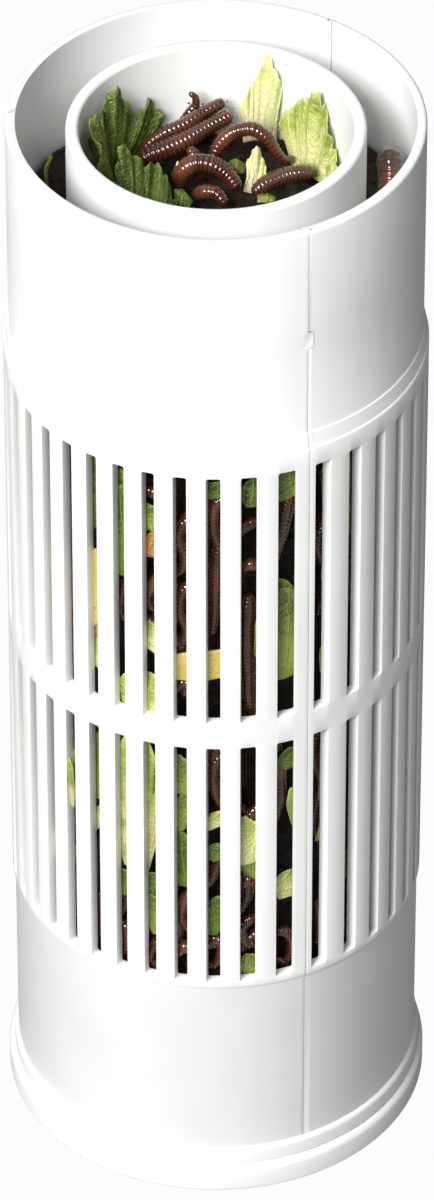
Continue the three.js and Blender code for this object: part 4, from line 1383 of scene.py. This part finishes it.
for material, places in wall_scraps.items():
    for side in range(fifths):
        blades = [
            wall_leaf(
                "scrap", kind, azimuth + side * 360 / fifths, middle, width, height,
                150 + 40 * side + order, scrap_lanes, tilt, frill=0.0008, teeth=0.001, columns=14, rows=7,
            )
            for order, (kind, azimuth, middle, width, height, tilt) in enumerate(places)
        ]
        piece = joined(f"{material.name}_scraps_{side + 1}", blades)
        settle(piece, "root", leaf_slots[material.name], material)
slot_lanes = (0.0745, 0.0768)
caught_leaf = wall_leaf(
    "caught_leaf", "frilly", -44.2, 0.182, 0.0038, 0.023, 400, slot_lanes, 4,
    frill=0.0005, teeth=0.0008, columns=14, rows=7,
)
settle(caught_leaf, "housing", "light_leaf", light_leaf)


# Peel and carrot: strips of yellow citrus peel, pitted outside and white with pith inside, pressed
# against the housing behind the slots, and one cut stick of carrot standing upright beside the castings.
def peel_finish():
    """Waxy yellow-orange skin with fine pits outside, matt pale pith on the inner side and the cut edge."""
    made, shader, place = finish("citrus_peel", {"Specular IOR Level": 0.5})
    outer = place.marked("outer")
    pores = place.node("TexVoronoi", {}, {"Vector": place, "Scale": 900}, output="Distance")
    pits = pores.between(0.1, 0.45)
    cloud = place.noise(110, 3)
    skin = cloud.between(0.35, 0.7).mix((0.47, 0.36, 0.075), (0.56, 0.45, 0.13))
    skin = cloud.between(0.64, 0.72).mix(skin, (0.24, 0.13, 0.03))
    place.feed(shader.inputs["Base Color"], outer.mix((0.78, 0.72, 0.48), skin))
    place.feed(shader.inputs["Roughness"], 0.6 - outer * 0.25)
    place.feed(shader.inputs["Normal"], (pits * outer + cloud * 0.4).bump(0.0003, 0.7))
    return made


def carrot_finish():
    """Moist orange flesh with paler streaks along it and fine dark lines across."""
    made, shader, place = finish("carrot_flesh", {"Specular IOR Level": 0.5, "Subsurface Weight": 0.15})
    shader.inputs["Subsurface Radius"].default_value = (0.004, 0.0015, 0.0005)
    level = place.axis("Z")
    streak = place.noise(300, 2)
    patch = place.noise(70, 2).between(0.45, 0.6)
    ring_line = (1 - (level * 260 + streak * 1.2).swing().between(0.0, 0.07)) * patch
    colour = streak.between(0.3, 0.75).mix((0.60, 0.16, 0.012), (0.72, 0.27, 0.03))
    colour = (ring_line * 0.7).mix(colour, (0.25, 0.075, 0.01))
    place.feed(shader.inputs["Base Color"], colour)
    place.feed(shader.inputs["Roughness"], 0.3 + streak * 0.2)
    place.feed(shader.inputs["Normal"], (streak * 0.4 - ring_line).bump(0.0005, 0.8))
    return made


yellow_peel = peel_finish()
leaf_outlines["peel"] = (
    [(-0.5, 0.02), (0, 0.04), (0.5, 0.2)],
    [(-0.5, 0.72), (-0.3, 0.82), (0.1, 0.93), (0.5, 1)],
)
peels = {"peel_slot_1": 0.022, "peel_slot_2": 0.013, "peel_slot_3": 0.022}
for order, (name, width) in enumerate(peels.items()):
    azimuth, middle, height = wall_place(name)
    strip = wall_leaf(
        name + "_strip", "peel", azimuth, middle, width, height, 100 + order,
        frill=0.0002, teeth=0.0002, bow=0.0004, thick=0.0012, columns=30,
    )
    shares = []
    for vertex in strip.data.vertices:
        out = Vector((vertex.co.x, vertex.co.y, 0)).normalized()
        shares.append(min(max(vertex.normal.dot(out) * 3, 0), 1))
    mark(strip, "outer", shares)
    settle(strip, "root", "yellow_peel", yellow_peel, name)

carrot_azimuth, carrot_middle, carrot_length = wall_place("carrot_stick")
carrot_radius = 0.0031
carrot_lane = waist_radius + gap + carrot_radius
carrot_line, carrot_run = smooth_line(
    [
        around(carrot_lane, carrot_azimuth, carrot_middle - carrot_length / 2),
        around(carrot_lane, carrot_azimuth, carrot_middle + carrot_length / 2),
    ],
    0.0012,
)
carrot_end = np.minimum(carrot_run, carrot_length - carrot_run)
carrot_radii = (carrot_radius * (1 - 0.3 * carrot_run / carrot_length)) * (
    0.82 + 0.18 * np.sqrt(np.clip(carrot_end / 0.0012, 0, 1)) + 0.012 * np.sin(carrot_run / 0.0011)
)
carrot = swept("carrot_stick_flesh", carrot_line, carrot_radii, 20)
smooth(carrot, 60)
settle(carrot, "root", "carrot", carrot_finish(), "carrot_stick")
